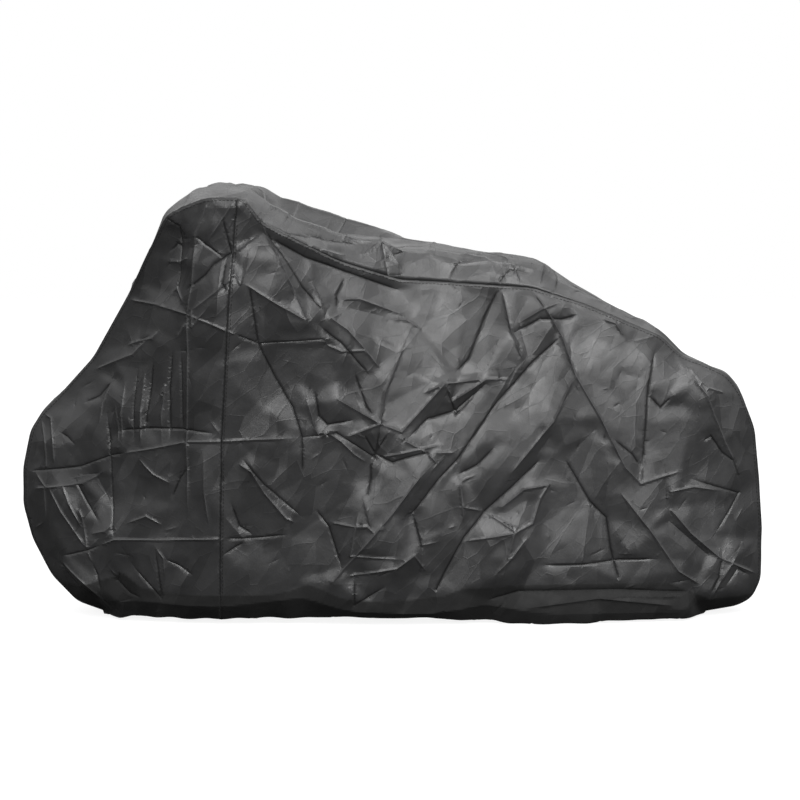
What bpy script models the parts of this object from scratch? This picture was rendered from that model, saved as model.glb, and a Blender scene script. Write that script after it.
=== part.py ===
"""A fitted bicycle cover: five sheets of thin coated cloth, sewn edge to edge and drawn in by an elastic hem.

A gusset strip runs up over the front wheel, over the handlebar and the saddle and down behind the rear wheel.
Two panels close each side of it, and a stitched seam below the handlebar joins them. The cover is hollow and
open at the bottom, where the bicycle goes in.

+X runs from the front wheel to the rear wheel, +Z is up, and the near side faces -Y. The origin lies under
the middle of the cover, at its lowest fold. Lengths are in metres, and the tables are in centimetres.
"""
import math

import bpy
import numpy as np
from mathutils import Vector, kdtree
from mathutils.geometry import delaunay_2d_cdt

# --- Driving dimensions -------------------------------------------------------------------------------------
CM = 0.01                  # one centimetre, the unit of the tables below
THICKNESS = 0.0015         # the cloth with its coating and seam allowance
GAP = 0.0003               # between two sheets along a seam
PANEL_MESH = 0.046         # spacing of the points on the side panels
GUSSET_MESH = 0.046        # spacing of the points on the gusset strip
SEAM_STEP = 0.030          # spacing of the points along every seam
END_STEPS = 3              # edges across each end of the gusset strip
FOLD_STEP = 0.045          # spacing of the points along the edges of the facets
CORNER_SOFTNESS = 0.014    # how far a corner of the outline is rounded
HEM_RISE = 0.22            # how far the hem climbs for each metre that it runs inwards
HEM_SOFTNESS = 0.03        # rounding of the hem along the cover
SECTION_SOFTNESS = 0.05    # rounding of the sides along the cover
SEED = 7                   # of the loose corners
CREASE_STEP = 0.02         # spacing at which a crease keeps loose corners away
LOOSE_PITCH = 0.09         # spacing of the loose corners between the creases
LOOSE_RISE = 0.0035        # greatest height of a loose corner
LOOSE_CLEARANCE = 0.5      # its least distance from a crease, as a share of the pitch
JITTER = 0.1               # margin of each corner inside its own square of the pitch
JOIN = 0.009               # corners closer than this are one
ON_LINE = 0.0002           # a place this close to a crease lies on it
STEEPEST = 0.42            # climb of a facet along its edges
EASING_STEPS = 60          # rounds of easing the steeper ones
EASING_SHARE = 0.25        # of the excess that each end of a span takes in a round
TIE_PITCH = 0.07           # spacing of the places where a sheet is tied to the smooth form
SEAM_FADE = 0.02           # the folds die out this far from a seam to the gusset strip
GATHER_PITCH = 0.085       # spacing of the gathers along the elastic hem
GATHER_RISE = 0.006
GATHER_DRIFT = 0.9         # unevenness of their spacing
PROBE = 0.004              # step for the slope of the smooth form
CROWN_FLATNESS = 3         # power by which the strip's middle falls to its seams
RIB_START = 0.45           # where the fold beside a seam begins, as a share of the half-width
RIB_CREST = 0.55           # where its crest lies between there and the seam
CREST_CLEARANCE = 0.4      # least distance between a crest's points and others, as a share of the spacing
FILL_CLEARANCE = 0.6       # the same for the filling
MERGE = 1e-6               # points of a cut closer than this are one
SAME_POINT = 0.0001        # points of two sheets closer than this are the same point of a seam
TINY = 1e-9

ROUGHNESS = 0.42
COLOURS = {
    "gusset_strip": (0.040, 0.040, 0.042),
    "near_front_panel": (0.032, 0.032, 0.034),
    "near_rear_panel": (0.034, 0.034, 0.036),
    "far_front_panel": (0.032, 0.032, 0.034),
    "far_rear_panel": (0.034, 0.034, 0.036),
}

# The seam between the side panels and the gusset strip, from the front hem over the top to the rear hem.
# reach: how far below the seam the side has reached its own width.
# crown: rise of the strip's middle over its seams.  rib: rise of the fold beside each seam.
# tilt: how much higher the far seam runs than the near one.
SEAM_COLUMNS = ("x", "z", "half_width", "reach", "crown", "rib", "tilt")
SEAM = (
    (-70.5, 0.5, 4.0, 7, 0.3, 0.0, 0.0),
    (-77.0, 3.0, 4.5, 7, 0.4, 0.0, 0.0),
    (-83.0, 9.5, 5.0, 7, 0.5, 0.0, 0.0),
    (-87.5, 18.5, 5.0, 8, 0.6, 0.0, 0.0),
    (-89.5, 26.5, 5.0, 8, 0.7, 0.0, 0.0),
    (-89.5, 35.5, 5.0, 9, 0.7, 0.0, 0.0),
    (-87.5, 45.0, 5.0, 9, 0.5, 0.0, 0.0),
    (-85.0, 49.0, 5.5, 10, 0.3, 0.0, 0.0),
    (-79.5, 54.5, 7.0, 12, 0.0, 0.0, 0.0),
    (-71.5, 63.0, 10.0, 14, -0.3, 0.0, 0.0),
    (-62.0, 78.5, 16.0, 14, -0.4, 0.2, 0.0),
    (-56.5, 88.5, 22.0, 12, 0.3, 0.4, 0.0),
    (-52.0, 96.5, 26.0, 10, 1.4, 0.4, 0.6),
    (-48.0, 98.5, 27.0, 10, 2.4, 0.3, 1.4),
    (-42.5, 100.5, 29.0, 9, 2.8, 0.4, 2.0),
    (-34.0, 100.5, 29.0, 9, 2.0, 0.8, 2.0),
    (-30.0, 95.0, 27.0, 12, 0.2, 3.4, 3.6),
    (-21.5, 90.5, 23.0, 16, 0.0, 3.6, 5.0),
    (-12.5, 86.0, 19.0, 20, 2.6, 3.4, 5.4),
    (1.5, 81.5, 13.0, 24, 6.6, 2.2, 4.4),
    (11.0, 81.0, 11.0, 26, 6.6, 1.2, 3.2),
    (25.5, 80.0, 10.0, 26, 6.4, 1.0, 1.6),
    (33.0, 79.5, 10.0, 24, 5.6, 0.8, 1.0),
    (46.0, 75.5, 10.0, 20, 2.8, 0.4, 0.4),
    (59.0, 70.0, 9.0, 14, 1.2, 0.2, 0.0),
    (64.0, 68.0, 8.0, 12, 0.6, 0.0, 0.0),
    (69.5, 63.0, 7.0, 11, 0.2, 0.0, 0.0),
    (74.0, 61.5, 6.5, 10, 0.3, 0.0, 0.0),
    (80.5, 58.5, 6.0, 9, 0.5, 0.0, 0.0),
    (84.0, 54.0, 5.5, 8, 0.5, 0.0, 0.0),
    (87.5, 45.0, 5.0, 8, 0.5, 0.0, 0.0),
    (88.5, 33.5, 5.0, 8, 0.6, 0.0, 0.0),
    (89.5, 22.0, 5.0, 8, 0.6, 0.0, 0.0),
    (89.5, 8.5, 5.0, 7, 0.5, 0.0, 0.0),
    (87.5, 4.0, 5.0, 7, 0.4, 0.0, 0.0),
    (84.0, 2.0, 5.0, 7, 0.3, 0.0, 0.0),
    (76.0, 0.5, 4.5, 7, 0.3, 0.0, 0.0),
)

# Half-widths of the sides at the top, at the middle and just over the hem, from front to rear.
SECTION_COLUMNS = ("x", "upper", "middle", "lower")
SECTIONS = (
    (-90, 5.0, 6.0, 6.0),
    (-80, 9.5, 11.5, 11.5),
    (-70, 12.5, 15.0, 15.0),
    (-60, 18.0, 18.5, 17.5),
    (-50, 25.5, 22.0, 19.5),
    (-41, 29.5, 24.5, 20.5),
    (-30, 28.0, 24.5, 21.0),
    (-15, 21.5, 23.0, 21.0),
    (0, 16.0, 21.5, 21.0),
    (15, 13.0, 19.5, 20.5),
    (30, 12.0, 17.0, 19.5),
    (50, 12.0, 15.0, 17.5),
    (65, 11.0, 13.5, 15.5),
    (80, 9.0, 11.0, 12.5),
    (90, 5.0, 6.0, 6.0),
)
MIDDLE_LEVEL = 0.45        # height of the middle half-width, as a share of the seam's height

# The drawn-in hem. lip: height where the side turns under.  fold: height of its lowest fold.
# turn: how far the cloth leans in from the lip to the fold.  mouth: half-width of the opening.
HEM_COLUMNS = ("x", "lip", "fold", "turn", "mouth")
HEM = (
    (-76, 4.0, 0.0, 0.6, 4.0),
    (-70, 4.6, 0.0, 1.6, 4.2),
    (-60, 5.0, 0.8, 2.8, 7.0),
    (-40, 4.6, 1.2, 3.0, 10.5),
    (-20, 7.0, 1.5, 3.8, 12.0),
    (-12, 3.6, 1.6, 2.4, 12.0),
    (8, 2.6, 1.3, 1.8, 12.0),
    (22, 4.8, 0.3, 2.8, 11.5),
    (36, 2.6, 0.0, 1.0, 11.0),
    (50, 2.4, 0.2, 0.9, 10.0),
    (66, 2.6, 0.8, 1.2, 7.5),
    (76, 4.0, 0.1, 1.0, 4.7),
    (84, 5.0, 0.1, 0.6, 4.6),
)

# The stitched seam between the front and the rear panel, from the hem to the gusset strip.
SIDE_SEAM_COLUMNS = ("x", "z")
SIDE_SEAM = ((-41.0, -14.0), (-40.6, 15.0), (-39.8, 45.0), (-37.8, 75.0), (-35.6, 99.7))

# Main creases of the near side. Each is a chain of points (x, z, rise): its place on the side's smooth form,
# and how far the cloth stands out from that form there. A ridge stands out and a trough falls back.
NEAR_CREASES = (
    # crest of the cloth that hangs from the near grip, and the trough behind it
    ((-35, 101, 1.2), (-31, 97, 1.9), (-26, 86, 1.9), (-23, 79, 1.5), (-20, 72, 1.0)),
    ((-29, 93, -0.9), (-25, 87, -0.9), (-21, 80, -0.7), (-16, 74, -0.2)),
    # dark pocket under the top's rounded fold
    ((-27, 91, -1.8), (-20, 87, -1.8), (-12, 84, -1.0), (2, 79, -0.6)),
    # broad trough down the middle
    ((-33, 81, -0.6), (-31, 67, -1.4), (-27, 59, -1.8), (-23, 52, -1.6), (-21, 45, -0.8), (-21, 36, -0.5)),
    # ahead of the stitched seam
    ((-42, 100, 0.6), (-45, 92, 1.0), (-46, 81, 0.9), (-47, 74, 0.8), (-48, 44, 0.6), (-48, 26, 0.2)),
    ((-52, 96, 0.2), (-49, 94, -0.8), (-49, 86, -0.8), (-50, 78, -0.5)),
    # knot of folds below the handlebar
    ((-39, 97, 0.2), (-37, 88, -0.7), (-43, 84, 0.3)),
    ((-37, 88, -0.7), (-37, 82, 0.6), (-47, 74, 0.8)),
    ((-37, 82, 0.6), (-28, 70, -0.8)),
    # upper packing crease
    ((-62, 77, 0.2), (-55, 76, 0.7), (-47, 74, 0.8), (-38, 70, 0.5), (-31, 67, -1.4), (-15, 68, 0.8)),
    ((-3, 61, 0.8), (14, 58, 0.4)),
    # middle packing crease
    ((-88, 35, 0.0), (-75, 37, -0.8), (-67, 40, -0.5), (-57, 42, 0.8), (-48, 44, 0.6), (-21, 45, -0.8)),
    # lower packing crease
    ((-80, 15, -0.6), (-73, 17, -0.6), (-66, 20, 0.6), (-42, 21, 0.4), (-35, 21, -0.6), (-24, 22, -0.4)),
    # upright crease of the front wheel
    ((-68, 50, -0.9), (-67, 40, -0.5), (-67, 30, -0.8), (-66, 20, 0.6)),
    # nose
    ((-85, 48, 0.2), (-83, 42, 0.6), (-83, 35, 0.3)),
    ((-81, 45, 0.2), (-75, 37, -0.8)),
    ((-82, 32, 0.7), (-79, 26, 0.7), (-73, 17, -0.6)),
    # folds below the frame's top tube
    ((-15, 73, 1.3), (-11, 70, 1.5), (-3, 61, 0.8)),
    ((-17, 71, -0.2), (-12, 67, -0.6), (-5, 59, -0.8)),
    ((-19, 66, -0.6), (-13, 58, -0.9)),
    ((-9, 61, -0.7), (-6, 52, -0.7), (-3, 48, 1.0), (-2, 55, 0.3), (5, 72, -0.5)),
    ((-13, 54, 0.4), (-3, 48, 1.0), (-11, 45, -0.2)),
    ((-3, 48, 1.0), (2, 46, 0.5), (12, 57, 0.9), (21, 58, 0.5)),
    ((-3, 48, 1.0), (-4, 40, -0.5), (-13, 46, -0.5), (-21, 45, -0.8)),
    ((-4, 40, -0.5), (2, 41, 0.6), (12, 43, -0.3)),
    ((12, 57, 0.9), (15, 50, -0.4), (21, 56, -0.3)),
    ((15, 50, -0.4), (12, 43, -0.3)),
    # pleat below the saddle
    ((25, 79, -0.6), (22, 73, -1.0), (18, 63, -0.8), (15, 60, -0.2)),
    ((26, 79, 0.2), (28, 69, 0.8), (31, 62, 0.3)),
    # long diagonal from the saddle to the pedals
    ((40, 68, 1.6), (33, 62, -0.6), (25, 53, -0.8), (15, 39, -0.9), (11, 35, -1.1), (4, 26, -1.5)),
    ((6, 35, 1.0), (0, 27, 1.3), (-7, 19, 1.1), (-14, 11, 0.7)),
    # crest running down from the saddle's tail
    ((29, 84, 0.8), (33, 79, 1.5), (37, 73, 1.6), (40, 68, 1.6), (43, 59, 1.5), (49, 49, 1.2), (55, 37, 0.9),
     (59, 33, 0.5)),
    ((43, 59, 1.5), (38, 48, 0.9), (28, 36, 0.2)),
    ((39, 66, -0.7), (36, 58, -0.4)),
    ((40, 68, 1.6), (50, 72, -0.6)),
    ((44, 59, 0.8), (54, 69, -0.4)),
    ((52, 54, -0.8), (57, 66, -0.6)),
    ((43, 41, -0.7), (48, 46, -0.3)),
    # deep creases above the hem
    ((35, 39, -0.8), (22, 27, -1.5), (17, 21, -1.5), (12, 12, -1.2), (10, 8, -0.6)),
    ((22, 27, -1.5), (29, 23, 0.5), (26, 12, 0.6)),
    ((41, 39, -0.9), (47, 29, -1.5), (51, 25, -1.7), (52, 18, -1.3), (54, 10, -0.6)),
    ((47, 28, -0.4), (45, 15, 0.3)),
    # pulls towards the rear corner of the hem
    ((54, 31, 0.7), (61, 22, 0.9), (68, 12, 1.2), (73, 9, 1.2)),
    ((66, 27, 0.6), (71, 21, 0.9), (78, 15, 1.1), (88, 10, 0.8)),
    ((66, 24, -0.5), (75, 16, -0.4)),
    # folds round the rear wheel
    ((71, 58, 0.5), (75, 53, 0.9), (79, 43, 0.9), (82, 38, 0.5)),
    ((63, 65, -0.4), (61, 56, -0.6), (60, 43, -0.5), (59, 33, 0.5), (69, 36, 0.6)),
    ((71, 34, -0.8), (84, 30, -0.6), (77, 20, -0.5)),
    # groove over the rear hem, and the flap below it
    ((23, 6, -1.2), (30, 8, -1.5), (54, 8, -1.5), (71, 7, -1.2)),
    ((32, 4, 0.8), (49, 6, 0.8), (66, 4, 0.8)),
    # front hem
    ((-62, 14, -0.3), (-55, 6, -0.7), (-56, 19, 0.5)),
    ((-66, 10, -0.9), (-63, 5, -0.9)),
    ((-18, 28, -0.4), (-15, 24, -0.7), (-12, 14, -0.3)),
    ((-8, 28, 0.6), (-10, 17, 0.5), (4, 16, 0.5)),
    ((-35, 40, -0.2), (-30, 34, -0.7), (-21, 26, -0.4)),
    ((-27, 19, -0.6), (-23, 11, -0.3)),
)

# Main creases of the far side.
FAR_CREASES = (
    # crest of the cloth that hangs from the far grip, and the trough behind it
    ((-34.5, 100, 1.2), (-30, 92, 1.8), (-25, 82, 1.6), (-21, 70, 0.9)),
    ((-27, 91, -0.9), (-22, 84, -0.9), (-16, 75, -0.3)),
    ((-24, 87, -1.4), (-12, 83, -0.9), (3, 78, -0.5)),
    # broad trough down the middle
    ((-34, 80, -0.6), (-31, 66, -1.6), (-25, 54, -1.5), (-24, 44, -0.6), (-22, 36, -0.4)),
    # ahead of the stitched seam
    ((-43, 98, 0.6), (-46, 86, 0.9), (-48, 74, 0.8), (-49, 43, 0.5), (-48, 20, 0.3)),
    # packing creases
    ((-63, 72, 0.3), (-48, 74, 0.8), (-31, 66, -1.6), (-15, 68, 0.6)),
    ((-87, 36, 0), (-69, 40, -0.6), (-49, 43, 0.5), (-24, 44, -0.6), (-4, 46, 0.8), (18, 44, -0.9)),
    ((-80, 15, -0.5), (-66, 19, 0.6), (-48, 20, 0.3), (-26, 21, -0.4)),
    ((-69, 52, -0.8), (-69, 40, -0.6), (-66, 19, 0.6)),
    # folds below the frame's top tube
    ((-14, 74, 1.2), (-4, 64, 1.2), (4, 54, 0.6), (-4, 46, 0.8)),
    ((-20, 62, -0.7), (-10, 56, -0.7), (-4, 46, 0.8), (-20, 34, -0.4)),
    ((7, 72, -0.7), (4, 54, 0.6), (14, 58, 0.8), (24, 63, -0.4)),
    ((24, 78, -0.7), (18, 68, -0.9), (14, 58, 0.8)),
    # long diagonal from the saddle to the pedals
    ((40, 68, 1.5), (30, 57, -0.7), (18, 44, -0.9), (6, 28, -1.4)),
    ((8, 38, 0.9), (-4, 24, 1.2), (-14, 12, 0.6)),
    # crest running down from the saddle's tail
    ((31, 79, 0.8), (37, 73, 1.5), (40, 68, 1.5), (43, 59, 1.5), (52, 45, 1.0), (58, 34, 0.6)),
    ((43, 59, 1.5), (36, 46, 0.9), (28, 36, 0.3)),
    ((40, 68, 1.5), (49, 72, -0.5)),
    # deep creases and pulls above the hem
    ((34, 38, -0.8), (24, 26, -1.4), (14, 11, -0.8)),
    ((42, 36, -0.9), (50, 24, -1.6), (54, 12, -0.7)),
    ((56, 29, 0.8), (64, 18, 1.0), (74, 9, 1.1)),
    ((66, 26, 0.7), (76, 16, 0.9), (85, 10, 0.6)),
    ((-64, 22, -0.6), (-58, 9, -0.8)),
    ((-38, 31, 0.7), (-30, 19, -0.6), (-24, 10, -0.3)),
    # folds round the rear wheel, and the groove over the hem
    ((70, 56, 0.6), (78, 44, 0.9), (81, 36, 0.5)),
    ((62, 63, -0.5), (60, 50, -0.6), (60, 38, 0.3)),
    ((27, 6.5, -1.2), (40, 8, -1.4), (56, 7.5, -1.4), (70, 6.5, -1.1)),
)
# Main creases of the gusset strip, with points (run, across, rise): how far along the near seam from the
# front hem, how far across from the strip's middle line, the near side negative, and how far the cloth
# stands out.
GUSSET_CREASES = (
    # crests beside the near and the far seam, behind the handlebar
    ((138, -22, 0.6), (148, -19, 1.0), (155, -16.5, 1.0), (170, -12, 0.9), (180, -8, 0.4)),
    ((140, 20, 0.4), (156, 15, 0.8), (169, 11, 0.5)),
    # sagging middle between them, and the packing creases across it
    ((144, -11, -0.9), (156, -3, -0.8), (170, -5, -0.6), (183, 0, -0.4)),
    ((148, 10, -0.5), (156, -3, -0.8)),
    ((155, -16.5, 1.0), (156, -3, -0.8), (156, 15, 0.8)),
    ((170, -12, 0.9), (170, -5, -0.6), (169, 11, 0.5)),
    ((183, -7.5, 0.4), (183, 0, -0.4), (185, 8, 0.5)),
    # over the saddle
    ((191, -6, 0.3), (203, -2, 0.8), (211, 5, 0.3)),
    ((203, -2, 0.8), (205, 7, 0.2)),
    # behind the saddle
    ((215, -6, 0.5), (225, 3, -0.5), (236, -4, 0.4)),
    ((225, 3, -0.5), (238, 4, 0.3)),
    ((246, -4, 0.4), (253, 2, -0.4), (262, -2, 0.3)),
    # over the grips
    ((121, -19, 0.4), (128, -6, -0.5), (124, 10, 0.6), (130, 21, 0.1)),
    ((128, -6, -0.5), (136, 6, 0.5), (144, -11, -0.9)),
    # front slope
    ((99, -11, 0.5), (109, 0, 0.8), (103, 13, 0.4)),
    ((109, 0, 0.8), (118, -13, -0.5)),
    ((84, -7, 0.4), (93, 2, -0.6), (88, 8, 0.3)),
    ((93, 2, -0.6), (99, -11, 0.5)),
    ((62, -3, 0.4), (72, 3, -0.4), (80, -4, 0.3)),
)


def table(rows, columns):
    """The columns of a table by name, in metres."""
    values = np.array(rows, dtype=float).reshape(-1, len(columns)) * CM
    return {name: values[:, index] for index, name in enumerate(columns)}


def soft_interp(at, knots, values, softness=CORNER_SOFTNESS):
    """Straight-line interpolation whose corners are rounded over the given softness."""
    offsets = np.linspace(-softness, softness, 5)
    return np.mean([np.interp(at + offset, knots, values) for offset in offsets], axis=0)


def seam_line(step=SEAM_STEP):
    """Points along the near seam, a step apart, with each column of the seam's table at them."""
    rows = table(SEAM, SEAM_COLUMNS)
    knots = np.concatenate(([0.0], np.cumsum(np.hypot(np.diff(rows["x"]), np.diff(rows["z"])))))
    count = round(knots[-1] / step) + 1
    run = np.linspace(0.0, knots[-1], count)
    line = {name: soft_interp(run, knots, values) for name, values in rows.items()}
    line["run"] = run
    along_x, along_z = np.gradient(line["x"]), np.gradient(line["z"])
    length = np.hypot(along_x, along_z)
    line["out_x"], line["out_z"] = -along_z / length, along_x / length
    return line


def nearest_on_seam(x, z, line):
    """Distance from each point to the seam in side view, and the seam's fractional index there."""
    start_x, start_z = line["x"][:-1], line["z"][:-1]
    step_x, step_z = np.diff(line["x"]), np.diff(line["z"])
    share = (x[:, None] - start_x) * step_x + (z[:, None] - start_z) * step_z
    share = np.clip(share / (step_x**2 + step_z**2), 0.0, 1.0)
    distance = np.hypot(start_x + share * step_x - x[:, None], start_z + share * step_z - z[:, None])
    best = np.argmin(distance, axis=1)
    rows = np.arange(len(best))
    return distance[rows, best], best + share[rows, best]


def at_index(index, values):
    """Values of a column of the seam at fractional indices."""
    return np.interp(index, np.arange(len(values)), values)


def seam_height(x, line):
    """Height of the seam over each x, between its foremost and its rearmost point."""
    first, last = np.argmin(line["x"]), np.argmax(line["x"])
    return np.interp(x, line["x"][first:last + 1], line["z"][first:last + 1])


def hem_value(x, name):
    """A column of the hem's table at each x."""
    rows = table(HEM, HEM_COLUMNS)
    return soft_interp(x, rows["x"], rows[name], HEM_SOFTNESS)


def side_half_width(x, z, line):
    """Half-width of a side's smooth form, and how far each point has come from the seam (0 to 1)."""
    rows = table(SECTIONS, SECTION_COLUMNS)
    upper, middle, lower = (soft_interp(x, rows["x"], rows[name], SECTION_SOFTNESS)
                            for name in SECTION_COLUMNS[1:])
    level = np.clip(z / seam_height(x, line), 0.0, 1.0)
    body = lower * (1 - level / MIDDLE_LEVEL) * (1 - level)
    body += middle * level * (1 - level) / (MIDDLE_LEVEL * (1 - MIDDLE_LEVEL))
    body += upper * level * (level - MIDDLE_LEVEL) / (1 - MIDDLE_LEVEL)
    distance, index = nearest_on_seam(x, z, line)
    edge = at_index(index, line["half_width"])
    away = np.sin(np.clip(distance / at_index(index, line["reach"]), 0.0, 1.0) * math.pi / 2)
    lip, fold = hem_value(x, "lip"), hem_value(x, "fold")
    lean = np.clip((lip - z) / (lip - fold), 0.0, 1.0) * hem_value(x, "turn")
    return edge + (body - edge - lean) * away, away, index


def hem_line(x, line):
    """Height in the cutting plane of a side panel's hem edge, below the lowest fold where it runs inwards."""
    fold = hem_value(x, "fold")
    width, _, _ = side_half_width(x, fold, line)
    return fold - np.maximum(width - hem_value(x, "mouth"), 0.0)


def sampled(chains, step=CREASE_STEP):
    """Points along the chains of a table, about a step apart."""
    samples = []
    for chain in chains:
        for start, end in zip(chain, chain[1:]):
            start, end = np.array(start[:2]) * CM, np.array(end[:2]) * CM
            count = max(1, round(np.linalg.norm(end - start) / step))
            samples += [start + (end - start) * share for share in np.arange(count + 1) / count]
    return np.array(samples)


def loose_corners(chains, outlines, ties, pitch, rise, seed):
    """Random corners that break up the open ground between the creases of a sheet."""
    random = np.random.default_rng(seed)
    low = np.min([outline.min(axis=0) for outline in outlines], axis=0)
    high = np.max([outline.max(axis=0) for outline in outlines], axis=0)
    columns, rows = np.ceil((high - low) / pitch).astype(int)
    grid = np.array([(column, row) for column in range(columns) for row in range(rows)], dtype=float)
    places = low + (grid + random.uniform(JITTER, 1.0 - JITTER, grid.shape)) * pitch
    rises = random.uniform(-rise, rise, len(places))
    kept = np.any([inside_outline(places, outline) for outline in outlines], axis=0)
    kept &= clear_of(places, np.concatenate((sampled(chains), ties)), LOOSE_CLEARANCE * pitch)
    return np.column_stack((places[kept], rises[kept]))


def split_by_corners(edges, places):
    """Breaks each edge at the corners that lie on it or nearly so."""
    broken = set()
    for first, last in edges:
        along = places[last] - places[first]
        share = (places - places[first]) @ along / (along @ along)
        off = np.linalg.norm(places - places[first] - share[:, None] * along, axis=1)
        between = np.flatnonzero((share > 0.0) & (share < 1.0) & (off < JOIN))
        stops = [first, *between[np.argsort(share[between])], last]
        broken |= {(int(start), int(end)) for start, end in zip(stops, stops[1:]) if start != end}
    return sorted(broken)


def crossing_height(place, places, heights, edges):
    """Mean height at a place where creases cross."""
    found = []
    for first, last in edges:
        along = places[last] - places[first]
        share = (place - places[first]) @ along / (along @ along)
        if 0.0 < share < 1.0 and np.linalg.norm(places[first] + share * along - place) < ON_LINE:
            found.append(heights[first] + (heights[last] - heights[first]) * share)
    return np.mean(found) if found else 0.0


def crease_net(chains, outlines, ties, pitch, rise, seed):
    """A net of flat facets hung between creases, loose corners and ties, which lie on the smooth form.

    Returns its corners (place and height), its triangles, and its spans without those between two ties.
    """
    corners, heights, edges = [], [], []

    def corner(place, height):
        for index, other in enumerate(corners):
            if math.dist(other, place) < JOIN:
                heights[index].append(height)
                return index
        corners.append(tuple(place))
        heights.append([height])
        return len(corners) - 1

    for place in ties:
        corner(place, 0.0)
    tied = len(corners)
    for chain in chains:
        numbers = [corner((across * CM, up * CM), height * CM) for across, up, height in chain]
        edges += [pair for pair in zip(numbers, numbers[1:]) if pair[0] != pair[1]]
    for across, up, height in loose_corners(chains, outlines, ties, pitch, rise, seed):
        corner((across, up), height)
    places = np.array(corners)
    heights = np.array([np.mean(values) for values in heights])
    edges = split_by_corners(edges, places)
    flat = [Vector(place) for place in corners]
    made, _, faces, origins, _, _ = delaunay_2d_cdt(flat, edges, [], 0, MERGE, True)
    net = np.zeros((len(made), 3))
    for index, (place, sources) in enumerate(zip(made, origins)):
        place = np.array(place[:])
        height = heights[sources[0]] if sources else crossing_height(place, places, heights, edges)
        net[index] = (*place, height)
    faces = np.array(faces)
    spans = np.unique(np.sort(np.concatenate((faces[:, :2], faces[:, 1:], faces[:, ::2])), axis=1), axis=0)
    length = np.linalg.norm(net[spans[:, 0], :2] - net[spans[:, 1], :2], axis=1)
    free = np.array([not sources or sources[0] >= tied for sources in origins], dtype=float)
    for _ in range(EASING_STEPS):
        climb = net[spans[:, 1], 2] - net[spans[:, 0], 2]
        excess = np.sign(climb) * np.maximum(np.abs(climb) - STEEPEST * length, 0.0) * EASING_SHARE
        np.add.at(net[:, 2], spans[:, 0], excess * free[spans[:, 0]])
        np.add.at(net[:, 2], spans[:, 1], -excess * free[spans[:, 1]])
    return net, faces, spans[np.any(free[spans] > 0.0, axis=1)]


def net_relief(across, up, net, faces):
    """Height of a net at each point; outside the net it is nothing."""
    relief = np.zeros(len(across))
    for corner in net[faces]:
        low, high = corner[:, :2].min(axis=0), corner[:, :2].max(axis=0)
        near = np.flatnonzero((across >= low[0]) & (across <= high[0]) & (up >= low[1]) & (up <= high[1]))
        side1, side2 = corner[1] - corner[0], corner[2] - corner[0]
        area = side1[0] * side2[1] - side1[1] * side2[0]
        if not len(near) or abs(area) < TINY:
            continue
        off_x, off_z = across[near] - corner[0, 0], up[near] - corner[0, 1]
        share1 = (off_x * side2[1] - off_z * side2[0]) / area
        share2 = (off_z * side1[0] - off_x * side1[1]) / area
        within = (share1 >= -TINY) & (share2 >= -TINY) & (share1 + share2 <= 1.0 + TINY)
        relief[near[within]] = corner[0, 2] + (share1 * side1[2] + share2 * side2[2])[within]
    return relief


def tie_places(outlines):
    """Where the nets of a sheet are tied to the smooth form: along its outer seams and its hem."""
    places = []
    for outline in outlines:
        run = np.concatenate(([0.0], np.cumsum(np.linalg.norm(np.diff(outline, axis=0), axis=1))))
        picks = [int(np.argmin(np.abs(run - at))) for at in np.arange(0.0, run[-1], TIE_PITCH)]
        places += [outline[pick] for pick in picks if not on_side_seam(outline[pick])]
    return np.array(places)


def on_side_seam(place):
    """Whether a place lies on the stitched seam between a front and a rear panel."""
    seam = table(SIDE_SEAM, SIDE_SEAM_COLUMNS)
    return abs(np.interp(place[1], seam["z"], seam["x"]) - place[0]) < JOIN


def side_base(x, cut_z, side, line):
    """Smooth form of a side panel, without its folds, at points of its cutting plane."""
    fold = hem_value(x, "fold")
    z = np.maximum(cut_z, fold)
    inwards = np.maximum(fold - cut_z, 0.0)
    width, away, index = side_half_width(x, z, line)
    rise = at_index(index, line["tilt"]) * (1.0 - away) if side > 0 else 0.0
    return np.stack((x, side * (width - inwards), z + HEM_RISE * inwards + rise), axis=1)


def side_surface(x, cut_z, side, line, relief_at):
    """Outer surface of a side panel with its folds, raised along the smooth form's normal."""
    points = side_base(x, cut_z, side, line)
    along = side_base(x + PROBE, cut_z, side, line) - points
    upwards = side_base(x, cut_z + PROBE, side, line) - points
    normals = -side * np.cross(along, upwards)
    normals /= np.maximum(np.linalg.norm(normals, axis=1), TINY)[:, None]
    near_hem = np.clip((hem_value(x, "lip") - cut_z) / GATHER_PITCH, 0.0, 1.0)
    wave = np.sin(2 * math.pi * x / GATHER_PITCH + GATHER_DRIFT * np.sin(x / GATHER_PITCH + side))
    distance, _ = nearest_on_seam(x, np.maximum(cut_z, 0.0), line)
    relief = (relief_at(x, cut_z) + near_hem * GATHER_RISE * wave) * np.clip(distance / SEAM_FADE, 0.0, 1.0)
    return points + normals * relief[:, None]


def gusset_surface(run, across, line, relief_at):
    """Outer surface of the gusset strip at points along and across it."""
    at = {name: np.interp(run, line["run"], values) for name, values in line.items()}
    share = np.clip(across / at["half_width"], -1.0, 1.0)
    middle = at["crown"] * (1.0 - np.abs(share) ** CROWN_FLATNESS)
    beside = np.clip((np.abs(share) - RIB_START) / (1.0 - RIB_START), 0.0, 1.0)
    ridge = at["rib"] * np.minimum(beside / RIB_CREST, (1.0 - beside) / (1.0 - RIB_CREST))
    from_seam = np.clip((at["half_width"] - np.abs(across)) / SEAM_FADE, 0.0, 1.0)
    rise = middle + ridge + relief_at(run, across) * from_seam
    return np.stack((
        at["x"] + at["out_x"] * rise,
        across,
        at["z"] + at["tilt"] * (share + 1.0) / 2 + at["out_z"] * rise,
    ), axis=1)


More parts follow.
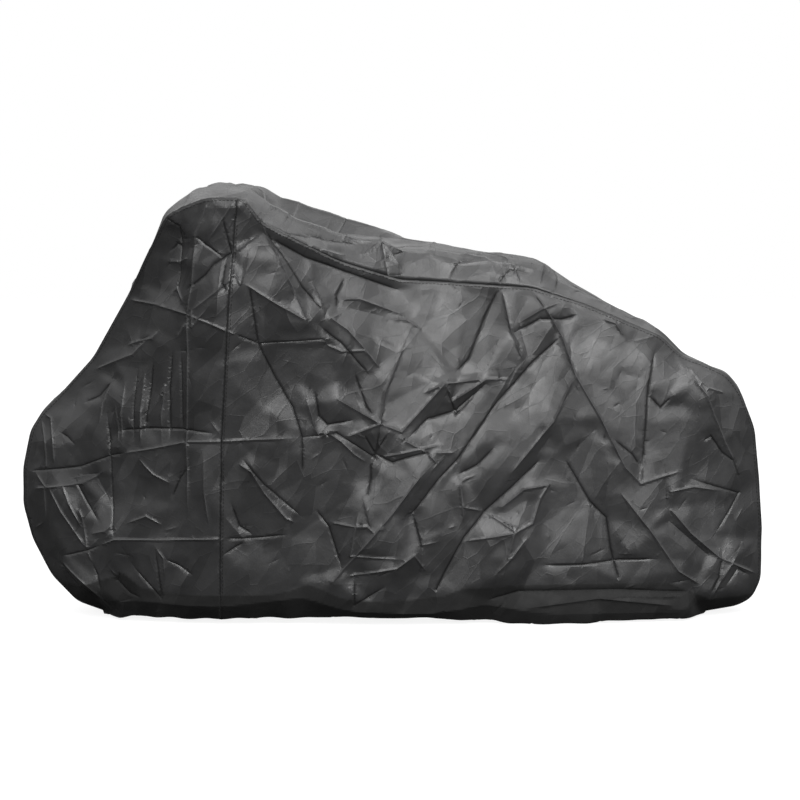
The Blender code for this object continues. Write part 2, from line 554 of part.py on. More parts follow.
def inside_outline(points, outline):
    """Which points lie inside a closed outline."""
    inside = np.zeros(len(points), dtype=bool)
    for (ax, ay), (bx, by) in zip(outline, np.roll(outline, -1, axis=0)):
        crosses = (ay > points[:, 1]) != (by > points[:, 1])
        reach = ax + (points[:, 1] - ay) * (bx - ax) / (by - ay if by != ay else TINY)
        inside ^= crosses & (points[:, 0] < reach)
    return inside


def clear_of(points, others, distance):
    """Which points keep the given distance from all the others."""
    tree = kdtree.KDTree(len(others))
    for index, other in enumerate(others):
        tree.insert((other[0], other[1], 0.0), index)
    tree.balance()
    return np.array([tree.find((point[0], point[1], 0.0))[2] > distance for point in points], dtype=bool)


def cut_sheet(outline, nets, spacing):
    """Triangles of a flat sheet: its outline, the spans of its nets, and an even filling between them."""
    points, edges = [*outline], [(i, (i + 1) % len(outline)) for i in range(len(outline))]
    for net, _, spans in nets:
        runs = []
        for first, last in net[spans][:, :, :2]:
            count = max(1, round(np.linalg.norm(last - first) / FOLD_STEP))
            runs.append(first + (last - first) * (np.arange(count + 1) / count)[:, None])
        crests = np.concatenate(runs)
        good = inside_outline(crests, outline) & clear_of(crests, outline, CREST_CLEARANCE * spacing)
        numbers = np.where(good, len(points) + np.cumsum(good) - 1, -1)
        points += [*crests[good]]
        start = 0
        for run in runs:
            chain = numbers[start:start + len(run)]
            edges += [(int(a), int(b)) for a, b in zip(chain, chain[1:]) if a >= 0 and b >= 0]
            start += len(run)
    placed = np.array(points)
    low, high = outline.min(axis=0), outline.max(axis=0)
    row_height = spacing * math.sqrt(3) / 2
    filling = [(low[0] + (column + 0.5 * (row % 2)) * spacing, low[1] + row * row_height)
               for row in range(int((high[1] - low[1]) / row_height) + 2)
               for column in range(int((high[0] - low[0]) / spacing) + 2)]
    filling = np.array(filling)
    filling = filling[inside_outline(filling, outline)]
    filling = filling[clear_of(filling, placed, FILL_CLEARANCE * spacing)]
    points += [*filling]
    wide, tall = high - low
    points += [low - (wide, tall), low + (2 * wide, -tall), high + (wide, tall), high - (2 * wide, -tall)]
    places = [Vector(point) for point in points]
    corners, _, faces, origins, _, _ = delaunay_2d_cdt(places, edges, [], 0, MERGE, True)
    flat = np.array([corner[:] for corner in corners])
    middles = flat[np.array(faces)].mean(axis=1)
    faces = [face for face, inside in zip(faces, inside_outline(middles, outline)) if inside]
    used = sorted({corner for face in faces for corner in face})
    renumbered = {old: new for new, old in enumerate(used)}
    faces = [tuple(renumbered[corner] for corner in face) for face in faces]
    rim = [None] * len(outline)
    for index, sources in enumerate(origins):
        for source in sources:
            if source < len(outline):
                rim[source] = renumbered[index]
    return flat[used], faces, rim


def panel_outlines(line):
    """Closed outlines of the front and the rear panel in the cutting plane, sharing the stitched seam."""
    seam = np.stack((line["x"], line["z"]), axis=1)
    rows = table(SIDE_SEAM, SIDE_SEAM_COLUMNS)
    top = int(np.argmin(np.linalg.norm(seam - (rows["x"][-1], rows["z"][-1]), axis=1)))
    foot_x = rows["x"][0]
    foot_z = hem_line(np.array([foot_x]), line)[0]
    count = round((seam[top, 1] - foot_z) / SEAM_STEP)
    heights = np.linspace(seam[top, 1], foot_z, count + 1)[1:]
    stitched = np.stack((np.interp(heights, rows["z"], rows["x"]), heights), axis=1)

    def hem(start, end):
        steps = max(2, round(abs(end - start) / SEAM_STEP))
        x = np.linspace(start, end, steps + 1)[1:-1]
        return np.stack((x, hem_line(x, line)), axis=1)

    foot = stitched[-1, 0]
    front = np.concatenate((seam[:top + 1], stitched, hem(foot, seam[0, 0])))
    rear = np.concatenate((seam[top:], hem(seam[-1, 0], foot), stitched[::-1]))
    return front, rear


def gusset_outline(line):
    """Closed outline of the gusset strip: along the near seam, and back along the far one."""
    near = np.stack((line["run"], -line["half_width"]), axis=1)
    far = np.stack((line["run"], line["half_width"]), axis=1)[::-1]

    def end(first, last):
        return np.linspace(first, last, END_STEPS + 1)[1:-1]

    return np.concatenate((near, end(near[-1], far[0]), far, end(far[-1], near[0])))


def vertex_normals(points, faces):
    """Normal of each point, from the faces round it."""
    normals = np.zeros_like(points)
    corners = np.array(faces)
    a, b, c = points[corners[:, 0]], points[corners[:, 1]], points[corners[:, 2]]
    face_normals = np.cross(b - a, c - a)
    for column in range(3):
        np.add.at(normals, corners[:, column], face_normals)
    return normals / np.linalg.norm(normals, axis=1)[:, None]


def share_seam_normals(sheets):
    """Gives the points that two sheets share along a seam one normal, so that their edges run evenly."""
    meeting = {}
    for sheet in sheets:
        for index in sheet["rim"]:
            key = tuple(np.round(sheet["points"][index] / SAME_POINT).astype(int))
            meeting.setdefault(key, []).append((sheet, index))
    for members in meeting.values():
        normal = sum(sheet["normals"][index] for sheet, index in members)
        normal /= np.linalg.norm(normal)
        for sheet, index in members:
            sheet["normals"][index] = normal


def open_seams(sheet):
    """Draws a sheet's rim back by half the gap between two sheets."""
    points, rim = sheet["points"], sheet["rim"]
    forward = points[np.roll(rim, -1)] - points[np.roll(rim, 1)]
    inwards = np.cross(sheet["normals"][rim], forward)
    points[rim] += inwards / np.linalg.norm(inwards, axis=1)[:, None] * GAP / 2


def build_sheet(outline, nets, spacing, surface, mirrored=False):
    """A sheet of the cover: the points of its outer surface, its faces, its rim and its normals.

    The surface function bends the flat cut into shape. Faces and rim run anticlockwise seen from outside.
    """
    flat, faces, rim = cut_sheet(outline, nets, spacing)
    x, z = outline[:, 0], outline[:, 1]
    clockwise = np.sum(x * np.roll(z, -1) - z * np.roll(x, -1)) < 0
    if mirrored:
        faces = [tuple(reversed(face)) for face in faces]
    if clockwise != mirrored:
        rim = rim[::-1]
    points = surface(flat[:, 0], flat[:, 1])
    return {"points": points, "faces": faces, "rim": rim, "normals": vertex_normals(points, faces)}


def sheet_mesh(name, sheet):
    """Closed mesh of a sheet: its outer surface, its inner surface one thickness behind it, and its rim."""
    outer = sheet["points"]
    inner = outer - sheet["normals"] * THICKNESS
    count = len(outer)
    rim = sheet["rim"]
    faces = [tuple(face) for face in sheet["faces"]]
    faces += [tuple(count + corner for corner in reversed(face)) for face in sheet["faces"]]
    for first, second in zip(rim, rim[1:] + rim[:1]):
        faces.append((second, first, first + count))
        faces.append((second, first + count, second + count))
    mesh = bpy.data.meshes.new(name)
    mesh.from_pydata(np.concatenate((outer, inner)).tolist(), [], faces)
    mesh.update()
    return mesh


def cloth_material(name, colour, roughness):
    """Coated nylon cloth."""
    material = bpy.data.materials.new(name)
    material.use_nodes = True
    shader = material.node_tree.nodes["Principled BSDF"]
    shader.inputs["Base Color"].default_value = (*colour, 1.0)
    shader.inputs["Roughness"].default_value = roughness
    shader.inputs["Metallic"].default_value = 0.0
    return material


def side_sheets(line, side, chains, seed):
    """The front and the rear panel of one side; -1 is the near side and 1 the far side."""
    outlines = panel_outlines(line)
    net = crease_net(chains, outlines, tie_places(outlines), LOOSE_PITCH, LOOSE_RISE, seed)

    def surface(x, cut_z):
        return side_surface(x, cut_z, side, line, lambda across, up: net_relief(across, up, *net[:2]))

    return [build_sheet(outline, [net], PANEL_MESH, surface, side > 0) for outline in outlines]


def gusset_sheet(line):
    """The long strip between the two sides."""
    outline = gusset_outline(line)
    net = crease_net(GUSSET_CREASES, [outline], tie_places([outline]), LOOSE_PITCH, LOOSE_RISE, SEED)

    def surface(run, across):
        return gusset_surface(run, across, line, lambda there, off: net_relief(there, off, *net[:2]))

    return build_sheet(outline, [net], GUSSET_MESH, surface)


def clear_scene():
    """Removes whatever the scene holds."""
    for thing in list(bpy.data.objects):
        bpy.data.objects.remove(thing, do_unlink=True)


def main():
    clear_scene()
    collection = bpy.data.collections.new("bicycle_cover")
    bpy.context.scene.collection.children.link(collection)
    line = seam_line()
    near_front, near_rear = side_sheets(line, -1, NEAR_CREASES, SEED)
    far_front, far_rear = side_sheets(line, 1, FAR_CREASES, SEED + 1)
    sheets = {
        "gusset_strip": gusset_sheet(line),
        "near_front_panel": near_front,
        "near_rear_panel": near_rear,
        "far_front_panel": far_front,
        "far_rear_panel": far_rear,
    }
    share_seam_normals(sheets.values())
    for name, sheet in sheets.items():
        open_seams(sheet)
        mesh = sheet_mesh(name, sheet)
        mesh.materials.append(cloth_material(name, COLOURS[name], ROUGHNESS))
        collection.objects.link(bpy.data.objects.new(name, mesh))


main()
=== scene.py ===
"""The looks of a fitted bicycle cover: coated charcoal nylon over a bicycle, full of packing creases.

The five sheets of the frame are made again as fine sheets of cloth on the same seams and main folds, with the
small folds, gathers, stitching and finish that the solids leave out. +X runs from the front wheel to the rear
wheel, +Z is up and the near side faces -Y. Lengths are in metres, and the tables are in centimetres.
"""
import math

import bpy
import numpy as np
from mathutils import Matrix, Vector, kdtree
from mathutils.bvhtree import BVHTree
from mathutils.geometry import delaunay_2d_cdt


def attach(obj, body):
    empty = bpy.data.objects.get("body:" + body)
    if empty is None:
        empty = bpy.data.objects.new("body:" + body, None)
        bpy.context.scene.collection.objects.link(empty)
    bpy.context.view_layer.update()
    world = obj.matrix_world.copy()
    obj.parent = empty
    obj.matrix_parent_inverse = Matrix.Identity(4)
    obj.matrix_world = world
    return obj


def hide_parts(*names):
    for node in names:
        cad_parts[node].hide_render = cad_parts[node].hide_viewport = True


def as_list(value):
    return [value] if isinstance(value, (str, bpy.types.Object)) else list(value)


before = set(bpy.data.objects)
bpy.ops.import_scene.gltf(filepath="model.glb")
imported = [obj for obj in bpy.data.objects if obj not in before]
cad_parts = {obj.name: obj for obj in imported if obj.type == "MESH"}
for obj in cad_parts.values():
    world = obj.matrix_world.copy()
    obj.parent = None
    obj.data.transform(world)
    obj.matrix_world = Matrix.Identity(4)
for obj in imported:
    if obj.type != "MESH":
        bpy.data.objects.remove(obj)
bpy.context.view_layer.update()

# --- Sizes of the cloth -------------------------------------------------------------------------------------
CM = 0.01                  # one centimetre, the unit of the tables below
THICKNESS = 0.0008         # the cloth with its coating
NEAR_MESH = 0.0056         # spacing of the points on the near side
FAR_MESH = 0.0085          # and on the far side
GUSSET_MESH = 0.0065       # spacing of the points on the gusset strip
SEAM_STEP = 0.006          # spacing of the points along every seam
END_STEPS = 3              # edges across each end of the gusset strip
FOLD_STEP = 0.008          # spacing of the points along the creases
SOFT_SAMPLES = 5           # places whose mean rounds a corner of a table's curve
CORNER_SOFTNESS = 0.014    # how far a corner of the outline is rounded
HEM_RISE = 0.22            # how far the hem climbs for each metre that it runs inwards
HEM_SOFTNESS = 0.03        # rounding of the hem along the cover
SECTION_SOFTNESS = 0.05    # rounding of the sides along the cover
SEED = 7                   # of the loose corners and the stray creases
CREASE_STEP = 0.02         # spacing at which a crease keeps loose corners away
LOOSE_PITCH = 0.09         # spacing of the loose corners between the creases
LOOSE_RISE = 0.0022        # greatest height of a loose corner
LOOSE_CLEARANCE = 0.5      # its least distance from a crease, as a share of the pitch
FINE_PITCH = 0.038         # the same for the net of small creases
FINE_RISE = 0.0013
FINE_GAIN = 1.6            # height of the small creases over what their table says
FAR_SHIFT = (11.0, -5.0)   # the far side's small creases lie this far from the near side's, in centimetres
JITTER = 0.1               # margin of each corner inside its own square of the pitch
JOIN = 0.009               # corners closer than this are one
ON_LINE = 0.0002           # a place this close to a crease lies on it
STEEPEST = 0.32            # climb of a facet along its edges
EASING_STEPS = 60          # rounds of easing the steeper ones
EASING_SHARE = 0.25        # of the excess that each end of a span takes in a round
LAST_SHARE = 0.30          # how much of its surroundings each point takes on at last, on creases too
TIE_PITCH = 0.07           # spacing of the places where a sheet is tied to the smooth form
SEAM_FADE = 0.02           # the folds die out this far from a seam to the gusset strip
GATHER_PITCH = 0.085       # spacing of the gathers along the elastic hem
GATHER_RISE = 0.003
GATHER_DRIFT = 0.9         # unevenness of their spacing
PINCH_WIDTH = 0.005        # half-width of the sharp edge that stands out along a crease
PINCH_RISE = 0.0014        # its height
PINCH_FULL = 0.0018        # height of a fold whose edge is fully sharp
STRAY_PITCH = 0.075        # spacing of the short stray creases
STRAY_REACH = (0.01, 0.035)  # half their length, the shortest and the longest
STRAY_RISE = 0.0016        # greatest height of a stray crease
STRAY_SLANT = 0.9          # their commonest direction, in radians over the ground
STRAY_SPREAD = 0.7         # and how far they turn from it
PROBE = 0.004              # step for the slope of the smooth form
CROWN_FLATNESS = 3         # power by which the strip's middle falls to its seams
RIB_START = 0.45           # where the fold beside a seam begins, as a share of the half-width
RIB_CREST = 0.55           # where its crest lies between there and the seam
GUSSET_LINES = (0.3, 0.45, 0.6, 0.75, 0.82, 0.9, 0.96)  # lines of points along the strip, as shares
CREST_CLEARANCE = 0.4      # least distance between a crease's points and others, as a share of the spacing
FILL_CLEARANCE = 0.6       # the same for the filling
CREASE_ANGLE = 9.0         # degrees between faces at which a crease is sharp
CHUNK = 4000               # points measured against the seam at a time
MERGE = 1e-6               # points of a cut closer than this are one
TINY = 1e-9

# The seam between the side panels and the gusset strip, from the front hem over the top to the rear hem.
# reach: how far below the seam the side has reached its own width.
# crown: rise of the strip's middle over its seams.  rib: rise of the fold beside each seam.
# tilt: how much higher the far seam runs than the near one.
SEAM_COLUMNS = ("x", "z", "half_width", "reach", "crown", "rib", "tilt")
SEAM = (
    (-70.5, 0.5, 4.0, 7, 0.3, 0.0, 0.0),
    (-77.0, 3.0, 4.5, 7, 0.4, 0.0, 0.0),
    (-83.0, 9.5, 5.0, 7, 0.5, 0.0, 0.0),
    (-87.5, 18.5, 5.0, 8, 0.6, 0.0, 0.0),
    (-89.5, 26.5, 5.0, 8, 0.7, 0.0, 0.0),
    (-89.5, 35.5, 5.0, 9, 0.7, 0.0, 0.0),
    (-87.5, 45.0, 5.0, 9, 0.5, 0.0, 0.0),
    (-85.0, 49.0, 5.5, 10, 0.3, 0.0, 0.0),
    (-79.5, 54.5, 7.0, 12, 0.0, 0.0, 0.0),
    (-71.5, 63.0, 10.0, 14, -0.3, 0.0, 0.0),
    (-62.0, 78.5, 16.0, 14, -0.4, 0.2, 0.0),
    (-56.5, 88.5, 22.0, 12, 0.3, 0.4, 0.0),
    (-52.0, 96.5, 26.0, 10, 1.4, 0.4, 0.6),
    (-48.0, 98.5, 27.0, 10, 2.4, 0.3, 1.4),
    (-42.5, 100.5, 29.0, 9, 2.8, 0.4, 2.0),
    (-34.0, 100.5, 29.0, 9, 2.0, 0.8, 2.0),
    (-30.0, 95.0, 27.0, 12, 0.2, 3.4, 3.6),
    (-21.5, 90.5, 23.0, 16, 0.0, 3.6, 5.0),
    (-12.5, 86.0, 19.0, 20, 2.6, 3.4, 5.4),
    (1.5, 81.5, 13.0, 24, 6.6, 2.2, 4.4),
    (11.0, 81.0, 11.0, 26, 6.6, 1.2, 3.2),
    (25.5, 80.0, 10.0, 26, 6.4, 1.0, 1.6),
    (33.0, 79.5, 10.0, 24, 5.6, 0.8, 1.0),
    (46.0, 75.5, 10.0, 20, 2.8, 0.4, 0.4),
    (59.0, 70.0, 9.0, 14, 1.2, 0.2, 0.0),
    (64.0, 68.0, 8.0, 12, 0.6, 0.0, 0.0),
    (69.5, 63.0, 7.0, 11, 0.2, 0.0, 0.0),
    (74.0, 61.5, 6.5, 10, 0.3, 0.0, 0.0),
    (80.5, 58.5, 6.0, 9, 0.5, 0.0, 0.0),
    (84.0, 54.0, 5.5, 8, 0.5, 0.0, 0.0),
    (87.5, 45.0, 5.0, 8, 0.5, 0.0, 0.0),
    (88.5, 33.5, 5.0, 8, 0.6, 0.0, 0.0),
    (89.5, 22.0, 5.0, 8, 0.6, 0.0, 0.0),
    (89.5, 8.5, 5.0, 7, 0.5, 0.0, 0.0),
    (87.5, 4.0, 5.0, 7, 0.4, 0.0, 0.0),
    (84.0, 2.0, 5.0, 7, 0.3, 0.0, 0.0),
    (76.0, 0.5, 4.5, 7, 0.3, 0.0, 0.0),
)

# Half-widths of the sides at the top, at the middle and just over the hem, from front to rear.
SECTION_COLUMNS = ("x", "upper", "middle", "lower")
SECTIONS = (
    (-90, 5.0, 6.0, 6.0),
    (-80, 9.5, 11.5, 11.5),
    (-70, 12.5, 15.0, 15.0),
    (-60, 18.0, 18.5, 17.5),
    (-50, 25.5, 22.0, 19.5),
    (-41, 29.5, 24.5, 20.5),
    (-30, 28.0, 24.5, 21.0),
    (-15, 21.5, 23.0, 21.0),
    (0, 16.0, 21.5, 21.0),
    (15, 13.0, 19.5, 20.5),
    (30, 12.0, 17.0, 19.5),
    (50, 12.0, 15.0, 17.5),
    (65, 11.0, 13.5, 15.5),
    (80, 9.0, 11.0, 12.5),
    (90, 5.0, 6.0, 6.0),
)
MIDDLE_LEVEL = 0.45        # height of the middle half-width, as a share of the seam's height

# The drawn-in hem. lip: height where the side turns under.  fold: height of its lowest fold.
# turn: how far the cloth leans in from the lip to the fold.  mouth: half-width of the opening.
HEM_COLUMNS = ("x", "lip", "fold", "turn", "mouth")
HEM = (
    (-76, 4.0, 0.0, 0.6, 4.0),
    (-70, 4.6, 0.0, 1.6, 4.2),
    (-60, 5.0, 0.8, 2.8, 7.0),
    (-40, 4.6, 1.2, 3.0, 10.5),
    (-20, 7.0, 1.5, 3.8, 12.0),
    (-12, 3.6, 1.6, 2.4, 12.0),
    (8, 2.6, 1.3, 1.8, 12.0),
    (22, 4.8, 0.3, 2.8, 11.5),
    (36, 2.6, 0.0, 1.0, 11.0),
    (50, 2.4, 0.2, 0.9, 10.0),
    (66, 2.6, 0.8, 1.2, 7.5),
    (76, 4.0, 0.1, 1.0, 4.7),
    (84, 5.0, 0.1, 0.6, 4.6),
)

# The stitched seam between the front and the rear panel, from the hem to the gusset strip.
SIDE_SEAM_COLUMNS = ("x", "z")
SIDE_SEAM = ((-41.0, -14.0), (-40.6, 15.0), (-39.8, 45.0), (-37.8, 75.0), (-35.6, 99.7))

# Main creases of the near side. Each is a chain of points (x, z, rise): its place on the side's smooth form,
# and how far the cloth stands out from that form there. A ridge stands out and a trough falls back.
NEAR_CREASES = (
    # crest of the cloth that hangs from the near grip, and the trough behind it
    ((-35, 101, 1.2), (-31, 97, 1.9), (-26, 86, 1.9), (-23, 79, 1.5), (-20, 72, 1.0)),
    ((-29, 93, -0.9), (-25, 87, -0.9), (-21, 80, -0.7), (-16, 74, -0.2)),
    # dark pocket under the top's rounded fold
    ((-27, 91, -1.8), (-20, 87, -1.8), (-12, 84, -1.0), (2, 79, -0.6)),
    # broad trough down the middle
    ((-33, 81, -0.6), (-31, 67, -1.4), (-27, 59, -1.8), (-23, 52, -1.6), (-21, 45, -0.8), (-21, 36, -0.5)),
    # ahead of the stitched seam
    ((-42, 100, 0.6), (-45, 92, 1.0), (-46, 81, 0.9), (-47, 74, 0.8), (-48, 44, 0.6), (-48, 26, 0.2)),
    ((-52, 96, 0.2), (-49, 94, -0.8), (-49, 86, -0.8), (-50, 78, -0.5)),
    # knot of folds below the handlebar
    ((-39, 97, 0.2), (-37, 88, -0.7), (-43, 84, 0.3)),
    ((-37, 88, -0.7), (-37, 82, 0.6), (-47, 74, 0.8)),
    ((-37, 82, 0.6), (-28, 70, -0.8)),
    # upper packing crease
    ((-62, 77, 0.2), (-55, 76, 0.7), (-47, 74, 0.8), (-38, 70, 0.5), (-31, 67, -1.4), (-15, 68, 0.8)),
    ((-3, 61, 0.8), (14, 58, 0.4)),
    # middle packing crease
    ((-88, 35, 0.0), (-75, 37, -0.8), (-67, 40, -0.5), (-57, 42, 0.8), (-48, 44, 0.6), (-21, 45, -0.8)),
    # lower packing crease
    ((-80, 15, -0.6), (-73, 17, -0.6), (-66, 20, 0.6), (-42, 21, 0.4), (-35, 21, -0.6), (-24, 22, -0.4)),
    # upright crease of the front wheel
    ((-68, 50, -0.9), (-67, 40, -0.5), (-67, 30, -0.8), (-66, 20, 0.6)),
    # nose
    ((-85, 48, 0.2), (-83, 42, 0.6), (-83, 35, 0.3)),
    ((-81, 45, 0.2), (-75, 37, -0.8)),
    ((-82, 32, 0.7), (-79, 26, 0.7), (-73, 17, -0.6)),
    # folds below the frame's top tube
    ((-15, 73, 1.3), (-11, 70, 1.5), (-3, 61, 0.8)),
    ((-17, 71, -0.2), (-12, 67, -0.6), (-5, 59, -0.8)),
    ((-19, 66, -0.6), (-13, 58, -0.9)),
    ((-9, 61, -0.7), (-6, 52, -0.7), (-3, 48, 1.0), (-2, 55, 0.3), (5, 72, -0.5)),
    ((-13, 54, 0.4), (-3, 48, 1.0), (-11, 45, -0.2)),
    ((-3, 48, 1.0), (2, 46, 0.5), (12, 57, 0.9), (21, 58, 0.5)),
    ((-3, 48, 1.0), (-4, 40, -0.5), (-13, 46, -0.5), (-21, 45, -0.8)),
    ((-4, 40, -0.5), (2, 41, 0.6), (12, 43, -0.3)),
    ((12, 57, 0.9), (15, 50, -0.4), (21, 56, -0.3)),
    ((15, 50, -0.4), (12, 43, -0.3)),
    # pleat below the saddle
    ((25, 79, -0.6), (22, 73, -1.0), (18, 63, -0.8), (15, 60, -0.2)),
    ((26, 79, 0.2), (28, 69, 0.8), (31, 62, 0.3)),
    # long diagonal from the saddle to the pedals
    ((40, 68, 1.6), (33, 62, -0.6), (25, 53, -0.8), (15, 39, -0.9), (11, 35, -1.1), (4, 26, -1.5)),
    ((6, 35, 1.0), (0, 27, 1.3), (-7, 19, 1.1), (-14, 11, 0.7)),
    # crest running down from the saddle's tail
    ((29, 84, 0.8), (33, 79, 1.5), (37, 73, 1.6), (40, 68, 1.6), (43, 59, 1.5), (49, 49, 1.2), (55, 37, 0.9),
     (59, 33, 0.5)),
    ((43, 59, 1.5), (38, 48, 0.9), (28, 36, 0.2)),
    ((39, 66, -0.7), (36, 58, -0.4)),
    ((40, 68, 1.6), (50, 72, -0.6)),
    ((44, 59, 0.8), (54, 69, -0.4)),
    ((52, 54, -0.8), (57, 66, -0.6)),
    ((43, 41, -0.7), (48, 46, -0.3)),
    # deep creases above the hem
    ((35, 39, -0.8), (22, 27, -1.5), (17, 21, -1.5), (12, 12, -1.2), (10, 8, -0.6)),
    ((22, 27, -1.5), (29, 23, 0.5), (26, 12, 0.6)),
    ((41, 39, -0.9), (47, 29, -1.5), (51, 25, -1.7), (52, 18, -1.3), (54, 10, -0.6)),
    ((47, 28, -0.4), (45, 15, 0.3)),
    # pulls towards the rear corner of the hem
    ((54, 31, 0.7), (61, 22, 0.9), (68, 12, 1.2), (73, 9, 1.2)),
    ((66, 27, 0.6), (71, 21, 0.9), (78, 15, 1.1), (88, 10, 0.8)),
    ((66, 24, -0.5), (75, 16, -0.4)),
    # folds round the rear wheel
    ((71, 58, 0.5), (75, 53, 0.9), (79, 43, 0.9), (82, 38, 0.5)),
    ((63, 65, -0.4), (61, 56, -0.6), (60, 43, -0.5), (59, 33, 0.5), (69, 36, 0.6)),
    ((71, 34, -0.8), (84, 30, -0.6), (77, 20, -0.5)),
    # groove over the rear hem, and the flap below it
    ((23, 6, -1.2), (30, 8, -1.5), (54, 8, -1.5), (71, 7, -1.2)),
    ((32, 4, 0.8), (49, 6, 0.8), (66, 4, 0.8)),
    # front hem
    ((-62, 14, -0.3), (-55, 6, -0.7), (-56, 19, 0.5)),
    ((-66, 10, -0.9), (-63, 5, -0.9)),
    ((-18, 28, -0.4), (-15, 24, -0.7), (-12, 14, -0.3)),
    ((-8, 28, 0.6), (-10, 17, 0.5), (4, 16, 0.5)),
    ((-35, 40, -0.2), (-30, 34, -0.7), (-21, 26, -0.4)),
    ((-27, 19, -0.6), (-23, 11, -0.3)),
)

# Main creases of the far side.
FAR_CREASES = (
    # crest of the cloth that hangs from the far grip, and the trough behind it
    ((-34.5, 100, 1.2), (-30, 92, 1.8), (-25, 82, 1.6), (-21, 70, 0.9)),
    ((-27, 91, -0.9), (-22, 84, -0.9), (-16, 75, -0.3)),
    ((-24, 87, -1.4), (-12, 83, -0.9), (3, 78, -0.5)),
    # broad trough down the middle
    ((-34, 80, -0.6), (-31, 66, -1.6), (-25, 54, -1.5), (-24, 44, -0.6), (-22, 36, -0.4)),
    # ahead of the stitched seam
    ((-43, 98, 0.6), (-46, 86, 0.9), (-48, 74, 0.8), (-49, 43, 0.5), (-48, 20, 0.3)),
    # packing creases
    ((-63, 72, 0.3), (-48, 74, 0.8), (-31, 66, -1.6), (-15, 68, 0.6)),
    ((-87, 36, 0), (-69, 40, -0.6), (-49, 43, 0.5), (-24, 44, -0.6), (-4, 46, 0.8), (18, 44, -0.9)),
    ((-80, 15, -0.5), (-66, 19, 0.6), (-48, 20, 0.3), (-26, 21, -0.4)),
    ((-69, 52, -0.8), (-69, 40, -0.6), (-66, 19, 0.6)),
    # folds below the frame's top tube
    ((-14, 74, 1.2), (-4, 64, 1.2), (4, 54, 0.6), (-4, 46, 0.8)),
    ((-20, 62, -0.7), (-10, 56, -0.7), (-4, 46, 0.8), (-20, 34, -0.4)),
    ((7, 72, -0.7), (4, 54, 0.6), (14, 58, 0.8), (24, 63, -0.4)),
    ((24, 78, -0.7), (18, 68, -0.9), (14, 58, 0.8)),
    # long diagonal from the saddle to the pedals
    ((40, 68, 1.5), (30, 57, -0.7), (18, 44, -0.9), (6, 28, -1.4)),
    ((8, 38, 0.9), (-4, 24, 1.2), (-14, 12, 0.6)),
    # crest running down from the saddle's tail
    ((31, 79, 0.8), (37, 73, 1.5), (40, 68, 1.5), (43, 59, 1.5), (52, 45, 1.0), (58, 34, 0.6)),
    ((43, 59, 1.5), (36, 46, 0.9), (28, 36, 0.3)),
    ((40, 68, 1.5), (49, 72, -0.5)),
    # deep creases and pulls above the hem
    ((34, 38, -0.8), (24, 26, -1.4), (14, 11, -0.8)),
    ((42, 36, -0.9), (50, 24, -1.6), (54, 12, -0.7)),
    ((56, 29, 0.8), (64, 18, 1.0), (74, 9, 1.1)),
    ((66, 26, 0.7), (76, 16, 0.9), (85, 10, 0.6)),
    ((-64, 22, -0.6), (-58, 9, -0.8)),
    ((-38, 31, 0.7), (-30, 19, -0.6), (-24, 10, -0.3)),
    # folds round the rear wheel, and the groove over the hem
    ((70, 56, 0.6), (78, 44, 0.9), (81, 36, 0.5)),
    ((62, 63, -0.5), (60, 50, -0.6), (60, 38, 0.3)),
    ((27, 6.5, -1.2), (40, 8, -1.4), (56, 7.5, -1.4), (70, 6.5, -1.1)),
)

# Main creases of the gusset strip, with points (run, across, rise): how far along the near seam from the
# front hem, how far across from the strip's middle line, the near side negative, and how far the cloth
# stands out.
GUSSET_CREASES = (
    # crests beside the near and the far seam, behind the handlebar
    ((138, -22, 0.6), (148, -19, 1.0), (155, -16.5, 1.0), (170, -12, 0.9), (180, -8, 0.4)),
    ((140, 20, 0.4), (156, 15, 0.8), (169, 11, 0.5)),
    # sagging middle between them, and the packing creases across it
    ((144, -11, -0.9), (156, -3, -0.8), (170, -5, -0.6), (183, 0, -0.4)),
    ((148, 10, -0.5), (156, -3, -0.8)),
    ((155, -16.5, 1.0), (156, -3, -0.8), (156, 15, 0.8)),
    ((170, -12, 0.9), (170, -5, -0.6), (169, 11, 0.5)),
    ((183, -7.5, 0.4), (183, 0, -0.4), (185, 8, 0.5)),
    # over the saddle
    ((191, -6, 0.3), (203, -2, 0.8), (211, 5, 0.3)),
    ((203, -2, 0.8), (205, 7, 0.2)),
    # behind the saddle
    ((215, -6, 0.5), (225, 3, -0.5), (236, -4, 0.4)),
    ((225, 3, -0.5), (238, 4, 0.3)),
    ((246, -4, 0.4), (253, 2, -0.4), (262, -2, 0.3)),
    # over the grips
    ((121, -19, 0.4), (128, -6, -0.5), (124, 10, 0.6), (130, 21, 0.1)),
    ((128, -6, -0.5), (136, 6, 0.5), (144, -11, -0.9)),
    # front slope
    ((99, -11, 0.5), (109, 0, 0.8), (103, 13, 0.4)),
    ((109, 0, 0.8), (118, -13, -0.5)),
    ((84, -7, 0.4), (93, 2, -0.6), (88, 8, 0.3)),
    ((93, 2, -0.6), (99, -11, 0.5)),
    ((62, -3, 0.4), (72, 3, -0.4), (80, -4, 0.3)),
)

